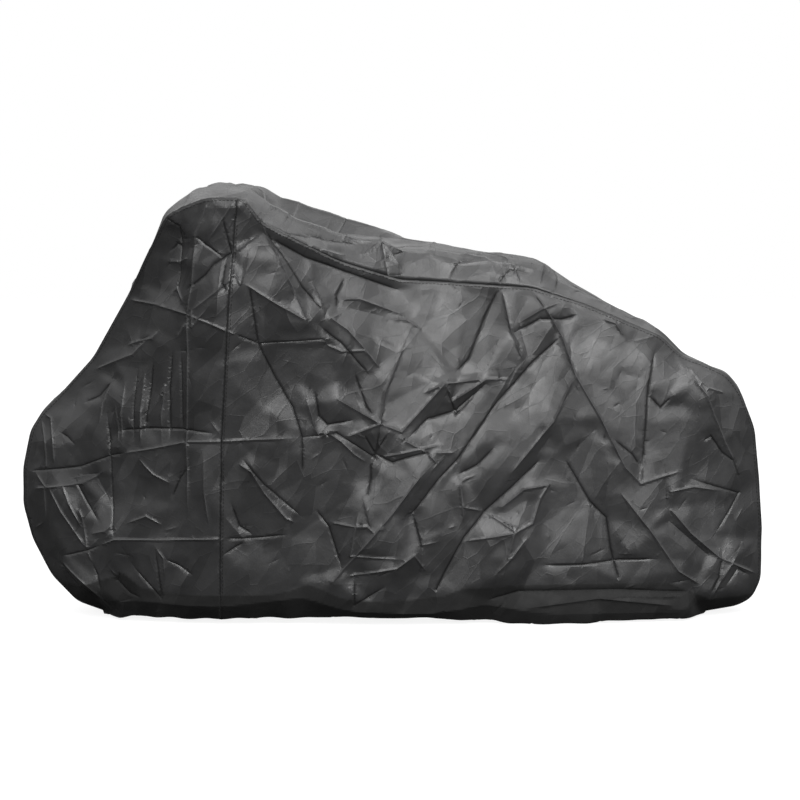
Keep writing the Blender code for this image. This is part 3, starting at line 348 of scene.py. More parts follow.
# Small creases of the near side, on top of the main ones.
FINE_CREASES = (
    # nose
    ((-84, 49, 0.2), (-82, 48, 0.3), (-81, 42, 0.3), (-81, 37, 0.1)),
    ((-80, 45, 0.0), (-78, 44, -0.2), (-76, 42, 0.0)),
    ((-86, 35, 0.3), (-83, 32, 0.3), (-83, 23, 0.1)),
    ((-75, 27, 0.1), (-74, 25, 0.4), (-73, 17, 0.3), (-71, 11, -0.3), (-70, 7, 0.0)),
    ((-71, 35, -0.3), (-67, 28, -0.3)),
    ((-86, 31, 0.4), (-80, 32, 0.5), (-74, 33, 0.4), (-69, 36, 0.2)),
    ((-79, 33, 0.2), (-77, 28, 0.4), (-74, 22, 0.2)),
    ((-76, 34, -0.2), (-74, 30, -0.4), (-70, 24, -0.2)),
    ((-72, 21, 0.1), (-68, 22, 0.3), (-66, 24, 0.1)),
    ((-80, 14, 0.2), (-74, 9, 0.4), (-68, 4, 0.3)),
    ((-82, 14, -0.2), (-76, 8, -0.4), (-71, 5, -0.3)),
    # over the front wheel
    ((-66, 54, 0.2), (-65, 47, 0.2), (-65, 42, 0.4)),
    ((-63, 55, 0.0), (-62, 48, 0.2)),
    ((-64, 43, 0.2), (-64, 50, 0.4), (-63, 58, 0.1)),
    ((-61, 44, -0.2), (-61, 52, -0.4), (-60, 61, -0.1)),
    ((-59, 43, 0.2), (-59, 51, 0.4), (-58, 60, 0.1)),
    ((-58, 46, -0.1), (-57, 55, -0.4), (-56, 63, -0.1)),
    ((-52, 44, -0.2), (-52, 56, -0.4), (-51, 66, -0.1)),
    ((-65, 46, -0.3), (-57, 47, -0.4), (-49, 47, -0.3), (-41, 46, 0.0)),
    ((-71, 60, 0.1), (-66, 62, 0.4), (-61, 64, 0.3), (-57, 68, 0.1)),
    ((-74, 52, 0.0), (-70, 54, -0.3), (-66, 58, -0.2)),
    ((-70, 47, 0.1), (-69, 52, 0.3), (-67, 57, 0.1)),
    ((-57, 50, 0.0), (-53, 57, 0.3), (-54, 50, 0.1), (-54, 43, 0.0)),
    ((-65, 20, 0.0), (-62, 14, -0.3)),
    ((-65, 12, 0.0), (-66, 10, -0.3), (-63, 7, -0.3), (-60, 6, 0.0)),
    ((-52, 11, -0.2), (-54, 7, -0.2)),
    ((-54, 16, 0.0), (-50, 14, -0.3), (-47, 12, 0.0)),
    ((-56, 19, 0.2), (-54, 16, 0.2), (-54, 11, 0.0)),
    ((-57, 33, 0.0), (-54, 38, 0.2)),
    ((-57, 21, 0.0), (-53, 28, 0.2)),
    ((-44, 41, 0.1), (-44, 32, 0.3), (-43, 24, 0.1)),
    ((-38, 30, 0.0), (-36, 24, -0.3), (-33, 22, -0.1)),
    ((-52, 30, 0.0), (-50, 35, -0.3), (-47, 39, -0.1)),
    ((-60, 40, 0.1), (-56, 36, 0.3), (-52, 34, 0.1)),
    ((-63, 24, 0.0), (-58, 26, 0.3), (-54, 24, 0.1)),
    ((-63, 66, 0.1), (-60, 67, 0.2), (-56, 68, 0.2), (-54, 70, 0.1)),
    ((-54, 65, 0.0), (-52, 66, 0.2)),
    ((-49, 66, -0.2), (-49, 56, -0.3), (-49, 45, -0.2)),
    ((-50, 68, 0.0), (-48, 71, 0.3), (-47, 72, 0.2)),
    # below the near grip
    ((-50, 99, 0.2), (-50, 95, 0.3)),
    ((-52, 86, 0.3), (-49, 86, 0.4), (-47, 87, 0.2)),
    ((-52, 88, 0.0), (-50, 90, -0.2), (-48, 89, 0.0)),
    ((-54, 75, 0.1), (-50, 80, 0.3), (-48, 76, 0.1)),
    ((-42, 76, 0.3), (-46, 71, 0.3), (-46, 76, 0.3)),
    ((-48, 79, 0.0), (-43, 83, -0.3), (-40, 87, -0.3)),
    ((-44, 80, 0.0), (-42, 84, -0.2)),
    ((-45, 92, 0.0), (-43, 90, -0.4), (-39, 87, -0.3)),
    ((-43, 90, -0.4), (-40, 94, 0.2), (-38, 97, 0.2), (-36, 100, 0.1)),
    ((-41, 97, 0.0), (-40, 101, 0.2)),
    ((-38, 87, -0.4), (-34, 91, -0.2)),
    ((-38, 87, -0.4), (-35, 89, 0.3), (-31, 92, 0.2)),
    ((-38, 87, -0.4), (-39, 81, -0.3), (-38, 79, 0.0)),
    ((-38, 87, -0.4), (-35, 81, 0.3), (-34, 84, 0.2), (-33, 90, 0.2)),
    ((-34, 81, 0.3), (-28, 77, 0.4), (-20, 72, 0.4)),
    ((-37, 69, 0.0), (-34, 75, -0.3)),
    ((-36, 63, 0.2), (-31, 63, 0.2)),
    # trough down the middle
    ((-20, 54, 0.4), (-18, 47, 0.3), (-17, 45, 0.2)),
    ((-17, 45, 0.2), (-15, 46, 0.4), (-12, 44, 0.4), (-9, 41, 0.3), (-6, 39, -0.2)),
    ((-18, 56, 0.0), (-17, 50, -0.4), (-15, 48, -0.3), (-9, 49, -0.2)),
    ((-9, 57, -0.3), (-7, 49, -0.3)),
    ((-36, 39, 0.0), (-33, 37, 0.4), (-30, 32, 0.4), (-25, 26, 0.3), (-23, 25, 0.1)),
    ((-30, 43, 0.1), (-24, 44, 0.3)),
    ((-30, 41, 0.1), (-22, 41, 0.2)),
    ((-39, 26, 0.2), (-35, 21, 0.3)),
    ((-40, 17, -0.2), (-37, 19, -0.3), (-35, 20, -0.2)),
    # star below the top tube
    ((-7, 46, 0.2), (-4, 41, -0.4), (-1, 46, 0.3)),
    ((-4, 41, -0.4), (0, 39, -0.4), (3, 40, -0.3), (7, 41, -0.2), (12, 41, 0.2), (15, 41, 0.0)),
    ((-5, 39, -0.3), (-5, 35, -0.5), (-6, 31, -0.2)),
    ((-7, 31, 0.4), (-6, 27, 0.2), (-5, 23, 0.1)),
    ((-15, 25, 0.2), (-9, 24, 0.3), (-6, 24, 0.2), (-4, 22, 0.2)),
    ((-11, 12, 0.3), (-5, 13, 0.4), (1, 14, 0.4), (5, 17, 0.4), (8, 13, -0.2)),
    ((-9, 12, -0.3), (-9, 5, -0.3), (-1, 10, 0.1)),
    ((-9, 8, 0.1), (-12, 5, 0.1)),
    # below the top tube
    ((-19, 81, 0.3), (-17, 77, 0.4), (-16, 73, 0.3)),
    ((-11, 82, 0.0), (-13, 78, -0.4), (-13, 75, -0.4)),
    ((-12, 77, 0.4), (-8, 77, 0.4), (0, 74, 0.4), (3, 73, 0.2)),
    ((-10, 75, -0.3), (-2, 73, -0.3)),
    ((-1, 72, 0.2), (3, 72, 0.3), (7, 70, -0.2)),
    ((-16, 67, 0.2), (-12, 65, 0.3), (-7, 65, 0.2), (-3, 62, -0.3)),
    ((7, 55, 0.0), (12, 57, 0.4), (14, 54, -0.2)),
    ((6, 74, 0.2), (7, 79, 0.3)),
    ((10, 73, 0.1), (15, 78, 0.2)),
    ((-19, 60, 0.2), (-15, 58, 0.2)),
    # fan between the star and the saddle
    ((4, 45, 0.0), (8, 49, -0.4), (15, 51, -0.4), (22, 57, -0.3)),
    ((14, 53, 0.2), (19, 56, 0.4), (22, 58, 0.2), (29, 58, -0.2)),
    ((0, 45, 0.2), (3, 41, 0.2)),
    ((1, 45, 0.3), (8, 41, 0.3), (11, 38, 0.2)),
    ((16, 36, -0.2), (20, 38, -0.4), (24, 42, -0.3)),
    # above the pedals
    ((5, 26, -0.5), (6, 22, -0.4), (7, 18, -0.3)),
    ((8, 13, 0.3), (10, 10, 0.2)),
    ((4, 8, -0.3), (2, 4, -0.3)),
    # star over the hem
    ((22, 27, -0.4), (17, 28, 0.3), (16, 33, 0.4), (17, 24, 0.2)),
    ((22, 27, -0.4), (29, 22, 0.4), (33, 24, 0.3), (35, 30, 0.2), (37, 33, 0.2), (31, 32, 0.4),
     (26, 28, 0.2)),
    ((24, 21, 0.4), (22, 27, -0.4)),
    ((17, 20, 0.2), (24, 21, 0.4), (30, 22, 0.3)),
    ((32, 21, 0.3), (28, 16, 0.4), (24, 12, 0.2)),
    ((34, 40, 0.0), (37, 44, -0.4)),
    # round the saddle
    ((30, 71, 0.1), (35, 74, 0.3), (40, 76, 0.2)),
    ((29, 69, -0.2), (35, 72, -0.3), (40, 72, -0.3), (44, 73, 0.2)),
    ((50, 72, 0.3), (53, 71, 0.4), (55, 68, 0.2)),
    ((56, 59, -0.3), (60, 58, -0.3)),
    ((29, 51, -0.2), (32, 52, -0.1)),
    ((20, 60, 0.1), (31, 61, 0.1)),
    ((22, 60, 0.1), (25, 67, 0.2)),
    # behind the saddle's crest
    ((49, 43, 0.3), (52, 42, 0.4)),
    ((52, 44, -0.4), (57, 40, -0.3), (59, 37, -0.3)),
    ((51, 39, 0.2), (51, 27, 0.2)),
    ((48, 26, -0.2), (50, 16, -0.2)),
    ((53, 22, 0.2), (56, 17, 0.3)),
    # pulls towards the rear corner
    ((65, 21, 0.3), (70, 17, 0.3)),
    ((65, 34, -0.3), (65, 27, -0.3)),
    ((66, 31, 0.2), (72, 32, 0.3), (78, 31, 0.3)),
    ((74, 43, 0.0), (76, 44, -0.3), (79, 40, -0.4), (82, 38, -0.4), (84, 33, -0.2)),
    ((82, 15, 0.4), (79, 10, 0.4), (76, 5, 0.3)),
    ((79, 16, -0.3), (78, 10, -0.3), (76, 6, -0.1)),
    ((86, 10, -0.3), (83, 12, -0.3), (80, 8, -0.2)),
    ((71, 10, -0.4), (73, 5, -0.4)),
    # rear hem
    ((35, 14, -0.2), (45, 14, -0.3), (54, 15, -0.3), (63, 15, -0.3)),
    ((50, 6, 0.3), (62, 6, 0.4), (69, 6, 0.3)),
    # rear shoulder
    ((61, 54, -0.2), (64, 51, -0.3), (67, 54, 0.2)),
    ((66, 55, -0.2), (69, 52, -0.3)),
    ((71, 60, 0.2), (73, 57, 0.4), (75, 55, 0.5), (79, 54, 0.3)),
    ((80, 58, 0.2), (81, 54, 0.2)),
)

# Small creases of the gusset strip.
GUSSET_FINE_CREASES = (
    # tent beside the near seam
    ((165, -16, 0.0), (169, -12, 0.6), (172, -12, 0.2), (177, -12, 0.0)),
    ((169, -12, 0.6), (173, -14, -0.5), (177, -12, 0.0)),
    # packing creases across the strip
    ((146, -25, 0.0), (146, -10, -0.3), (147, 8, 0.2), (146, 24, 0.0)),
    ((160, -18, 0.0), (161, -6, 0.3), (159, 8, -0.3), (160, 18, 0.0)),
    ((184, -12, 0.0), (184, 0, 0.3), (184, 11, 0.0)),
    # folds that fan out from the saddle's nose
    ((200, -10, 0.0), (196, -7, 0.4), (190, -5, 0.0)),
    ((205, -10, 0.0), (201, -6, 0.5), (194, -3, 0.1)),
    ((209, -10, 0.0), (209, -5, 0.4), (206, -1, 0.1)),
    ((213, -10, 0.0), (213, -5, -0.4), (212, 0, 0.1)),
    # along the near face over the saddle
    ((178, -11, 0.1), (183, -9, 0.4), (189, -9, 0.2)),
    ((187, -11, 0.0), (190, -8, -0.4), (194, -7, -0.2)),
    ((192, -10, 0.1), (197, -9, 0.3), (203, -9, 0.2)),
    ((198, -11, 0.0), (202, -8, -0.4), (207, -8, -0.1)),
    ((170, -14, 0.0), (175, -10, -0.4), (181, -7, -0.2)),
    ((152, -24, 0.0), (157, -20, 0.4), (163, -17, 0.2)),
    ((141, -27, 0.0), (147, -24, -0.4), (154, -19, -0.2)),
    # along the middle
    ((135, -10, 0.0), (142, -3, 0.4), (150, 2, 0.3), (158, 3, 0.0)),
    ((150, 12, 0.0), (156, 6, -0.4), (163, 2, -0.3), (170, -3, 0.0)),
    ((168, 6, 0.0), (175, 3, 0.4), (183, 3, 0.2)),
    ((215, 3, 0.0), (224, 4, 0.4), (236, 3, 0.2)),
    # along the near fold
    ((150, -21, -0.2), (158, -17, -0.4), (165, -14, -0.2)),
    ((186, -9, 0.2), (195, -8, 0.4), (204, -7, 0.3)),
    ((222, -8, 0.2), (230, -6, 0.4), (240, -6, 0.3), (250, -5, 0.2)),
    ((217, -9, 0.0), (222, -4, -0.4), (230, 0, -0.2)),
    ((232, -8, 0.0), (236, -3, 0.3), (244, 0, 0.0)),
    # front slope
    ((96, -16, 0.0), (100, -6, 0.4), (98, 6, -0.3), (101, 15, 0.0)),
    ((86, -11, 0.0), (89, -3, -0.3), (87, 7, 0.0)),
    # over the handlebar
    ((121, -26, 0.0), (124, -12, 0.4), (122, 2, -0.3), (125, 16, 0.3), (123, 26, 0.0)),
    ((131, -28, 0.0), (130, -14, 0.3), (132, 4, 0.3), (131, 18, -0.3), (132, 28, 0.0)),
)

# Flat size of each sheet before it was sewn: width, length and area in square metres.
FLAT_SIZES = {
    "front": (0.62, 1.10, 0.45),
    "rear": (1.42, 1.08, 1.12),
    "gusset": (0.62, 3.30, 0.80),
}

# Finish. Scales of textures are their periods in a metre, and bumps are in metres.
# The gusset strip's colour is set darker than the sides' as painted shade, which tones down the light falling
# on the top of the cover.
COLOURS = {"front": (0.029, 0.029, 0.0296), "rear": (0.029, 0.029, 0.0296), "gusset": (0.026, 0.026, 0.0266)}
ROUGHNESS = 0.40
SPECULAR = 0.62            # on the shader's own scale, where 0.5 is plain plastic
SHEEN = 0.03
SHEEN_ROUGHNESS = 0.45
NOISE_GRAIN = 0.58         # roughness of every noise
NOISE_LIMITS = (0.3, 0.7)  # the part of a noise that is spread over the limits given with it
TINT_SCALE = 9.0           # unevenness of the colour
TINT_DETAIL = 4.0
TINT_LIMITS = (0.8, 1.25)  # the darkest and the palest, times the colour
GLOSS_SCALE = 14.0         # unevenness of the gloss
GLOSS_DETAIL = 3.0
GLOSS_LIMITS = (-0.07, 0.09)  # the smoothest and the dullest, added to the roughness
PATCHES = ((0.085, 0.12), (0.036, 0.09))  # size of the flat patches between packing creases, and their lean
PATCH_SLANT = 0.9          # direction in which they run, in radians over the ground
PATCH_STRETCH = 2.6        # their length over their width
DRIFT_SCALE = 10.0         # unevenness of the patches' edges
DRIFT_REACH = 0.012        # how far it moves them
BUSY_SCALE = 5.0           # where the patches lean more and less
BUSY_LIMITS = (0.35, 0.6)  # the part of that noise between the calmest and the busiest ground
CALM = 0.35                # lean left on the calmest ground
SOFT_DETAIL = 2.0          # detail of those two noises
PACKING_LINE = 0.02        # width of the line between two patches, as a share of their size
PACKING_RISE = 0.0002      # and its height
CRACK_START = 0.35         # a crease's line begins at this share of its height
GROOVE_PAINTED_SHADE = 0.4          # colour left in the line of a groove, as painted shade
RIDGE_PAINTED_HIGHLIGHT = 1.8           # and on a ridge, paler as a painted highlight
CRACK_RISE = 0.0013        # height of the line's sharp edge
SEAM_SHADE_DEPTH = -0.8          # depth of the line along a seam, on the same scale; it gives the seam a bump and painted shade
WRINKLE_SCALE = 60.0       # the finest wrinkles
WRINKLE_DETAIL = 4.0
WRINKLE_RISE = 0.0005
WEAVE_SCALE = 420.0        # threads of the taffeta
WEAVE_DRIFT = 0.4
WEAVE_RISE = 0.00004

STITCH_PITCH = 0.009       # the threads of the seams
STITCH_SIZE = (0.0055, 0.0022, 0.0006)  # length, width, and rise over the cloth
STITCH_TOP = 0.6           # width of a stitch's top over that of its foot
STITCH_INSET = 0.006       # they run this far from the seam
STITCH_ENDS = 0.05         # and stop this far from its ends
THREAD_COLOUR = (0.004, 0.004, 0.004)
THREAD_PAINTED_HIGHLIGHT = 2.0          # colour on the crown of its twist, over that colour, as a painted highlight
THREAD_ROUGHNESS = 0.7
TWIST_SCALE = 600.0
TWIST_RISE = 0.0001

# Upper edge of the hem band, the double cloth that holds the elastic; below it the cloth is duller, and its
# colour is darkened as painted shade where the hem turns under.
HEM_BAND_COLUMNS = ("x", "z")
HEM_BAND = (
    (-76, 8), (-64, 12), (-60, 9), (-54, 8), (-45, 7.5), (-28, 8), (-24, 9), (-20, 10.5), (-17, 9.5),
    (-13, 7.5), (-9, 6.5), (0, 6), (8, 7), (12, 7.5), (16, 9), (28, 9.5), (35, 9.5), (66, 9.5), (72, 7),
    (76, 5),
)
HEM_BAND_EDGE = 0.004      # softness of that edge
HEM_BAND_PAINTED_SHADE = 0.05      # colour left in the band, as painted shade
HEM_BAND_ROUGHNESS = 0.8

# Studio
CAMERA_DISTANCE = 5.0
CAMERA_ELEVATION = 5.0     # degrees above the horizon
CAMERA_TARGET = (0.017, 0.0, 0.518)
CAMERA_LENS = 92.2         # millimetres
CAMERA_SENSOR = 36.0
FLOOR_SIDE = 40.0
FLOOR_DROP = -0.002
FLOOR_COLOUR = (0.9, 0.9, 0.9, 1.0)
FELT_COLOUR = (0.04, 0.04, 0.04, 1.0)  # what the cover itself sees of the floor
FLOOR_GLOW = 0.7           # share of the floor that shadows don't darken
FLOOR_PALENESS = 1.25      # radiance of that share
WHITE = (1.0, 1.0, 1.0, 1.0)
LOW_LIGHT = 0.02           # radiance of the studio below the horizon, and straight above
TOP_LIGHT = 1.05
HORIZON_SOFTNESS = (-0.2, 0.8)  # heights between which one passes into the other
# Each light's name, place, aim, size and watts.
LIGHTS = (
    ("overhead", (1.4, 0.2, 3.2), (0.1, 0.0, 0.5), (2.4, 1.6), 25.0),
    ("front_top", (0.9, -3.0, 2.7), (0.0, -0.2, 0.5), (2.4, 0.8), 85.0),
    ("front_fill", (0.6, -5.0, 1.7), (0.0, 0.0, 0.5), (4.0, 1.6), 75.0),
    ("backdrop", (0.0, 5.0, 4.0), (0.0, 6.0, 0.0), (8.0, 3.0), 90.0),
)


# --- Form ---------------------------------------------------------------------------------------------------
def table(rows, columns):
    """The columns of a table by name, in metres."""
    values = np.array(rows, dtype=float).reshape(-1, len(columns)) * CM
    return {name: values[:, index] for index, name in enumerate(columns)}


def soft_interp(at, knots, values, softness=CORNER_SOFTNESS):
    """Straight-line interpolation whose corners are rounded over the given softness."""
    offsets = np.linspace(-softness, softness, SOFT_SAMPLES)
    return np.mean([np.interp(at + offset, knots, values) for offset in offsets], axis=0)


def run_along(points):
    """Distance run along a line of points, at each of them."""
    return np.concatenate(([0.0], np.cumsum(np.linalg.norm(np.diff(points, axis=0), axis=1))))


def seam_line():
    """Points along the near seam at even steps, with each column of the seam's table at them."""
    rows = table(SEAM, SEAM_COLUMNS)
    knots = np.concatenate(([0.0], np.cumsum(np.hypot(np.diff(rows["x"]), np.diff(rows["z"])))))
    run = np.linspace(0.0, knots[-1], round(knots[-1] / SEAM_STEP) + 1)
    line = {name: soft_interp(run, knots, values) for name, values in rows.items()}
    line["run"] = run
    along_x, along_z = np.gradient(line["x"]), np.gradient(line["z"])
    length = np.hypot(along_x, along_z)
    line["out_x"], line["out_z"] = -along_z / length, along_x / length
    return line


def nearest_on_seam(x, z, line):
    """Distance from each point to the seam in side view, and the seam's fractional index there."""
    if len(x) > CHUNK:
        parts = [nearest_on_seam(x[first:first + CHUNK], z[first:first + CHUNK], line)
                 for first in range(0, len(x), CHUNK)]
        return tuple(np.concatenate(columns) for columns in zip(*parts))
    start_x, start_z = line["x"][:-1], line["z"][:-1]
    step_x, step_z = np.diff(line["x"]), np.diff(line["z"])
    share = (x[:, None] - start_x) * step_x + (z[:, None] - start_z) * step_z
    share = np.clip(share / (step_x**2 + step_z**2), 0.0, 1.0)
    distance = np.hypot(start_x + share * step_x - x[:, None], start_z + share * step_z - z[:, None])
    best = np.argmin(distance, axis=1)
    rows = np.arange(len(best))
    return distance[rows, best], best + share[rows, best]


def at_index(index, values):
    """Values of a column of the seam at fractional indices."""
    return np.interp(index, np.arange(len(values)), values)


def seam_height(x, line):
    """Height of the seam over each x, between its foremost and its rearmost point."""
    first, last = np.argmin(line["x"]), np.argmax(line["x"])
    return np.interp(x, line["x"][first:last + 1], line["z"][first:last + 1])


def hem_value(x, name):
    """A column of the hem's table at each x."""
    rows = table(HEM, HEM_COLUMNS)
    return soft_interp(x, rows["x"], rows[name], HEM_SOFTNESS)


def side_half_width(x, z, line):
    """Half-width of a side's smooth form, and how far each point has come from the seam (0 to 1)."""
    rows = table(SECTIONS, SECTION_COLUMNS)
    upper, middle, lower = (soft_interp(x, rows["x"], rows[name], SECTION_SOFTNESS)
                            for name in SECTION_COLUMNS[1:])
    level = np.clip(z / seam_height(x, line), 0.0, 1.0)
    body = lower * (1 - level / MIDDLE_LEVEL) * (1 - level)
    body += middle * level * (1 - level) / (MIDDLE_LEVEL * (1 - MIDDLE_LEVEL))
    body += upper * level * (level - MIDDLE_LEVEL) / (1 - MIDDLE_LEVEL)
    distance, index = nearest_on_seam(x, z, line)
    edge = at_index(index, line["half_width"])
    away = np.sin(np.clip(distance / at_index(index, line["reach"]), 0.0, 1.0) * math.pi / 2)
    lip, fold = hem_value(x, "lip"), hem_value(x, "fold")
    lean = np.clip((lip - z) / (lip - fold), 0.0, 1.0) * hem_value(x, "turn")
    return edge + (body - edge - lean) * away, away, index


def hem_line(x, line):
    """Height in the cutting plane of a side panel's hem edge, below the lowest fold where it runs inwards."""
    fold = hem_value(x, "fold")
    width, _, _ = side_half_width(x, fold, line)
    return fold - np.maximum(width - hem_value(x, "mouth"), 0.0)


def crease_lines(chains, step):
    """The creases of a table as lines of points about a step apart."""
    lines = []
    for chain in chains:
        for start, end in zip(chain, chain[1:]):
            start, end = np.array(start[:2]) * CM, np.array(end[:2]) * CM
            count = max(1, round(np.linalg.norm(end - start) / step))
            lines.append(start + (end - start) * (np.arange(count + 1) / count)[:, None])
    return lines


def squares(outlines, pitch):
    """The lowest corner of the ground under some outlines, and the squares of a pitch that cover it."""
    low = np.min([outline.min(axis=0) for outline in outlines], axis=0)
    high = np.max([outline.max(axis=0) for outline in outlines], axis=0)
    columns, rows = np.ceil((high - low) / pitch).astype(int)
    return low, np.array([(column, row) for column in range(columns) for row in range(rows)], dtype=float)


def loose_corners(chains, outlines, ties, pitch, rise, seed):
    """Random corners that break up the open ground between the creases of a sheet."""
    random = np.random.default_rng(seed)
    low, grid = squares(outlines, pitch)
    places = low + (grid + random.uniform(JITTER, 1.0 - JITTER, grid.shape)) * pitch
    rises = random.uniform(-rise, rise, len(places))
    kept = np.any([inside_outline(places, outline) for outline in outlines], axis=0)
    taken = np.concatenate((*crease_lines(chains, CREASE_STEP), ties))
    kept &= clear_of(places, taken, LOOSE_CLEARANCE * pitch)
    return np.column_stack((places[kept], rises[kept]))


def split_by_corners(edges, places):
    """Breaks each edge at the corners that lie on it or nearly so."""
    broken = set()
    for first, last in edges:
        along = places[last] - places[first]
        share = (places - places[first]) @ along / (along @ along)
        off = np.linalg.norm(places - places[first] - share[:, None] * along, axis=1)
        between = np.flatnonzero((share > 0.0) & (share < 1.0) & (off < JOIN))
        stops = [first, *between[np.argsort(share[between])], last]
        broken |= {(int(start), int(end)) for start, end in zip(stops, stops[1:]) if start != end}
    return sorted(broken)


def crossing_height(place, places, heights, edges):
    """Mean height at a place where creases cross."""
    found = []
    for first, last in edges:
        along = places[last] - places[first]
        share = (place - places[first]) @ along / (along @ along)
        if 0.0 < share < 1.0 and np.linalg.norm(places[first] + share * along - place) < ON_LINE:
            found.append(heights[first] + (heights[last] - heights[first]) * share)
    return np.mean(found) if found else 0.0


def edges_of(faces):
    """The edges of a mesh of triangles, each of them once."""
    edges = np.concatenate((faces[:, :2], faces[:, 1:], faces[:, ::2]))
    return np.unique(np.sort(edges, axis=1), axis=0)


def crease_net(chains, outlines, ties, pitch, rise, seed):
    """A net of flat facets hung between creases, loose corners and ties, which lie on the smooth form.

    Returns its corners (place and height) and its triangles.
    """
    corners, heights, edges = [], [], []

    def corner(place, height):
        for index, other in enumerate(corners):
            if math.dist(other, place) < JOIN:
                heights[index].append(height)
                return index
        corners.append(tuple(place))
        heights.append([height])
        return len(corners) - 1

    for place in ties:
        corner(place, 0.0)
    tied = len(corners)
    for chain in chains:
        numbers = [corner((across * CM, up * CM), height * CM) for across, up, height in chain]
        edges += [pair for pair in zip(numbers, numbers[1:]) if pair[0] != pair[1]]
    for across, up, height in loose_corners(chains, outlines, ties, pitch, rise, seed):
        corner((across, up), height)
    places = np.array(corners)
    heights = np.array([np.mean(values) for values in heights])
    edges = split_by_corners(edges, places)
    flat = [Vector(place) for place in corners]
    made, _, faces, origins, _, _ = delaunay_2d_cdt(flat, edges, [], 0, MERGE, True)
    net = np.zeros((len(made), 3))
    for index, (place, sources) in enumerate(zip(made, origins)):
        place = np.array(place[:])
        height = heights[sources[0]] if sources else crossing_height(place, places, heights, edges)
        net[index] = (*place, height)
    faces = np.array(faces)
    first, last = edges_of(faces).T
    length = np.linalg.norm(net[first, :2] - net[last, :2], axis=1)
    free = np.array([not sources or sources[0] >= tied for sources in origins], dtype=float)
    for _ in range(EASING_STEPS):
        climb = net[last, 2] - net[first, 2]
        excess = np.sign(climb) * np.maximum(np.abs(climb) - STEEPEST * length, 0.0) * EASING_SHARE
        np.add.at(net[:, 2], first, excess * free[first])
        np.add.at(net[:, 2], last, -excess * free[last])
    return net, faces


def net_relief(across, up, net, faces):
    """Height of a net at each point; outside the net it is nothing."""
    relief = np.zeros(len(across))
    for corner in net[faces]:
        low, high = corner[:, :2].min(axis=0), corner[:, :2].max(axis=0)
        near = np.flatnonzero((across >= low[0]) & (across <= high[0]) & (up >= low[1]) & (up <= high[1]))
        side1, side2 = corner[1] - corner[0], corner[2] - corner[0]
        area = side1[0] * side2[1] - side1[1] * side2[0]
        if not len(near) or abs(area) < TINY:
            continue
        off_x, off_z = across[near] - corner[0, 0], up[near] - corner[0, 1]
        share1 = (off_x * side2[1] - off_z * side2[0]) / area
        share2 = (off_z * side1[0] - off_x * side1[1]) / area
        within = (share1 >= -TINY) & (share2 >= -TINY) & (share1 + share2 <= 1.0 + TINY)
        relief[near[within]] = corner[0, 2] + (share1 * side1[2] + share2 * side2[2])[within]
    return relief


def stray_creases(outlines, seed):
    """Short straight creases strewn over the sheets, as rows of a crease table."""
    random = np.random.default_rng(seed)
    low, grid = squares(outlines, STRAY_PITCH)
    strays = []
    for square in grid:
        middle = low + (square + random.uniform(0.0, 1.0, 2)) * STRAY_PITCH
        slant = STRAY_SLANT + random.normal(0.0, STRAY_SPREAD)
        reach = random.uniform(*STRAY_REACH) * np.array((math.cos(slant), math.sin(slant)))
        rise = random.uniform(-STRAY_RISE, STRAY_RISE) / CM
        start, end = (middle - reach) / CM, (middle + reach) / CM
        strays.append(((*start, 0.0), (*(middle / CM), rise), (*end, 0.0)))
    return strays


def pinches(across, up, chains):
    """Height of the sharp edges along the creases of a table, and which points lie on a crease.

    An edge begins and ends at nothing.
    """
    relief, held = np.zeros(len(across)), np.zeros(len(across), dtype=bool)
    for chain in chains:
        places = np.array(chain) * CM
        places[[0, -1], 2] = 0.0
        for (x0, z0, rise0), (x1, z1, rise1) in zip(places, places[1:]):
            near = np.flatnonzero(
                (across > min(x0, x1) - PINCH_WIDTH) & (across < max(x0, x1) + PINCH_WIDTH)
                & (up > min(z0, z1) - PINCH_WIDTH) & (up < max(z0, z1) + PINCH_WIDTH))
            off_x, off_z = across[near] - x0, up[near] - z0
            step_x, step_z = x1 - x0, z1 - z0
            share = np.clip((off_x * step_x + off_z * step_z) / (step_x**2 + step_z**2), 0.0, 1.0)
            distance = np.hypot(off_x - share * step_x, off_z - share * step_z)
            rise = np.clip((rise0 + (rise1 - rise0) * share) / PINCH_FULL, -1.0, 1.0) * PINCH_RISE
            edge = rise * np.clip(1.0 - distance / PINCH_WIDTH, 0.0, 1.0)
            relief[near] = np.where(np.abs(edge) > np.abs(relief[near]), edge, relief[near])
            held[near] |= distance < ON_LINE
    return relief, held


def rounded(relief, faces, held):
    """The relief with the cloth between creases rounded; the held points give way only in the last round."""
    first, last = edges_of(np.array(faces)).T
    count = np.bincount(np.concatenate((first, last)), minlength=len(relief))
    for give in (np.where(held, 0.0, 1.0), LAST_SHARE):
        around = np.bincount(first, relief[last], minlength=len(relief))
        around += np.bincount(last, relief[first], minlength=len(relief))
        relief = relief + (around / count - relief) * give
    return relief


def tie_places(outlines):
    """Where the nets of a sheet are tied to the smooth form: along its outer seams and its hem."""
    places = []
    for outline in outlines:
        run = run_along(outline)
        picks = [int(np.argmin(np.abs(run - at))) for at in np.arange(0.0, run[-1], TIE_PITCH)]
        places += [outline[pick] for pick in picks if not on_side_seam(outline[pick])]
    return np.array(places)


def on_side_seam(place):
    """Whether a place lies on the stitched seam between a front and a rear panel."""
    seam = table(SIDE_SEAM, SIDE_SEAM_COLUMNS)
    return abs(np.interp(place[1], seam["z"], seam["x"]) - place[0]) < JOIN


def side_base(x, cut_z, side, line):
    """Smooth form of a side panel, without its folds, at points of its cutting plane."""
    fold = hem_value(x, "fold")
    z = np.maximum(cut_z, fold)
    inwards = np.maximum(fold - cut_z, 0.0)
    width, away, index = side_half_width(x, z, line)
    rise = at_index(index, line["tilt"]) * (1.0 - away) if side > 0 else 0.0
    return np.stack((x, side * (width - inwards), z + HEM_RISE * inwards + rise), axis=1)


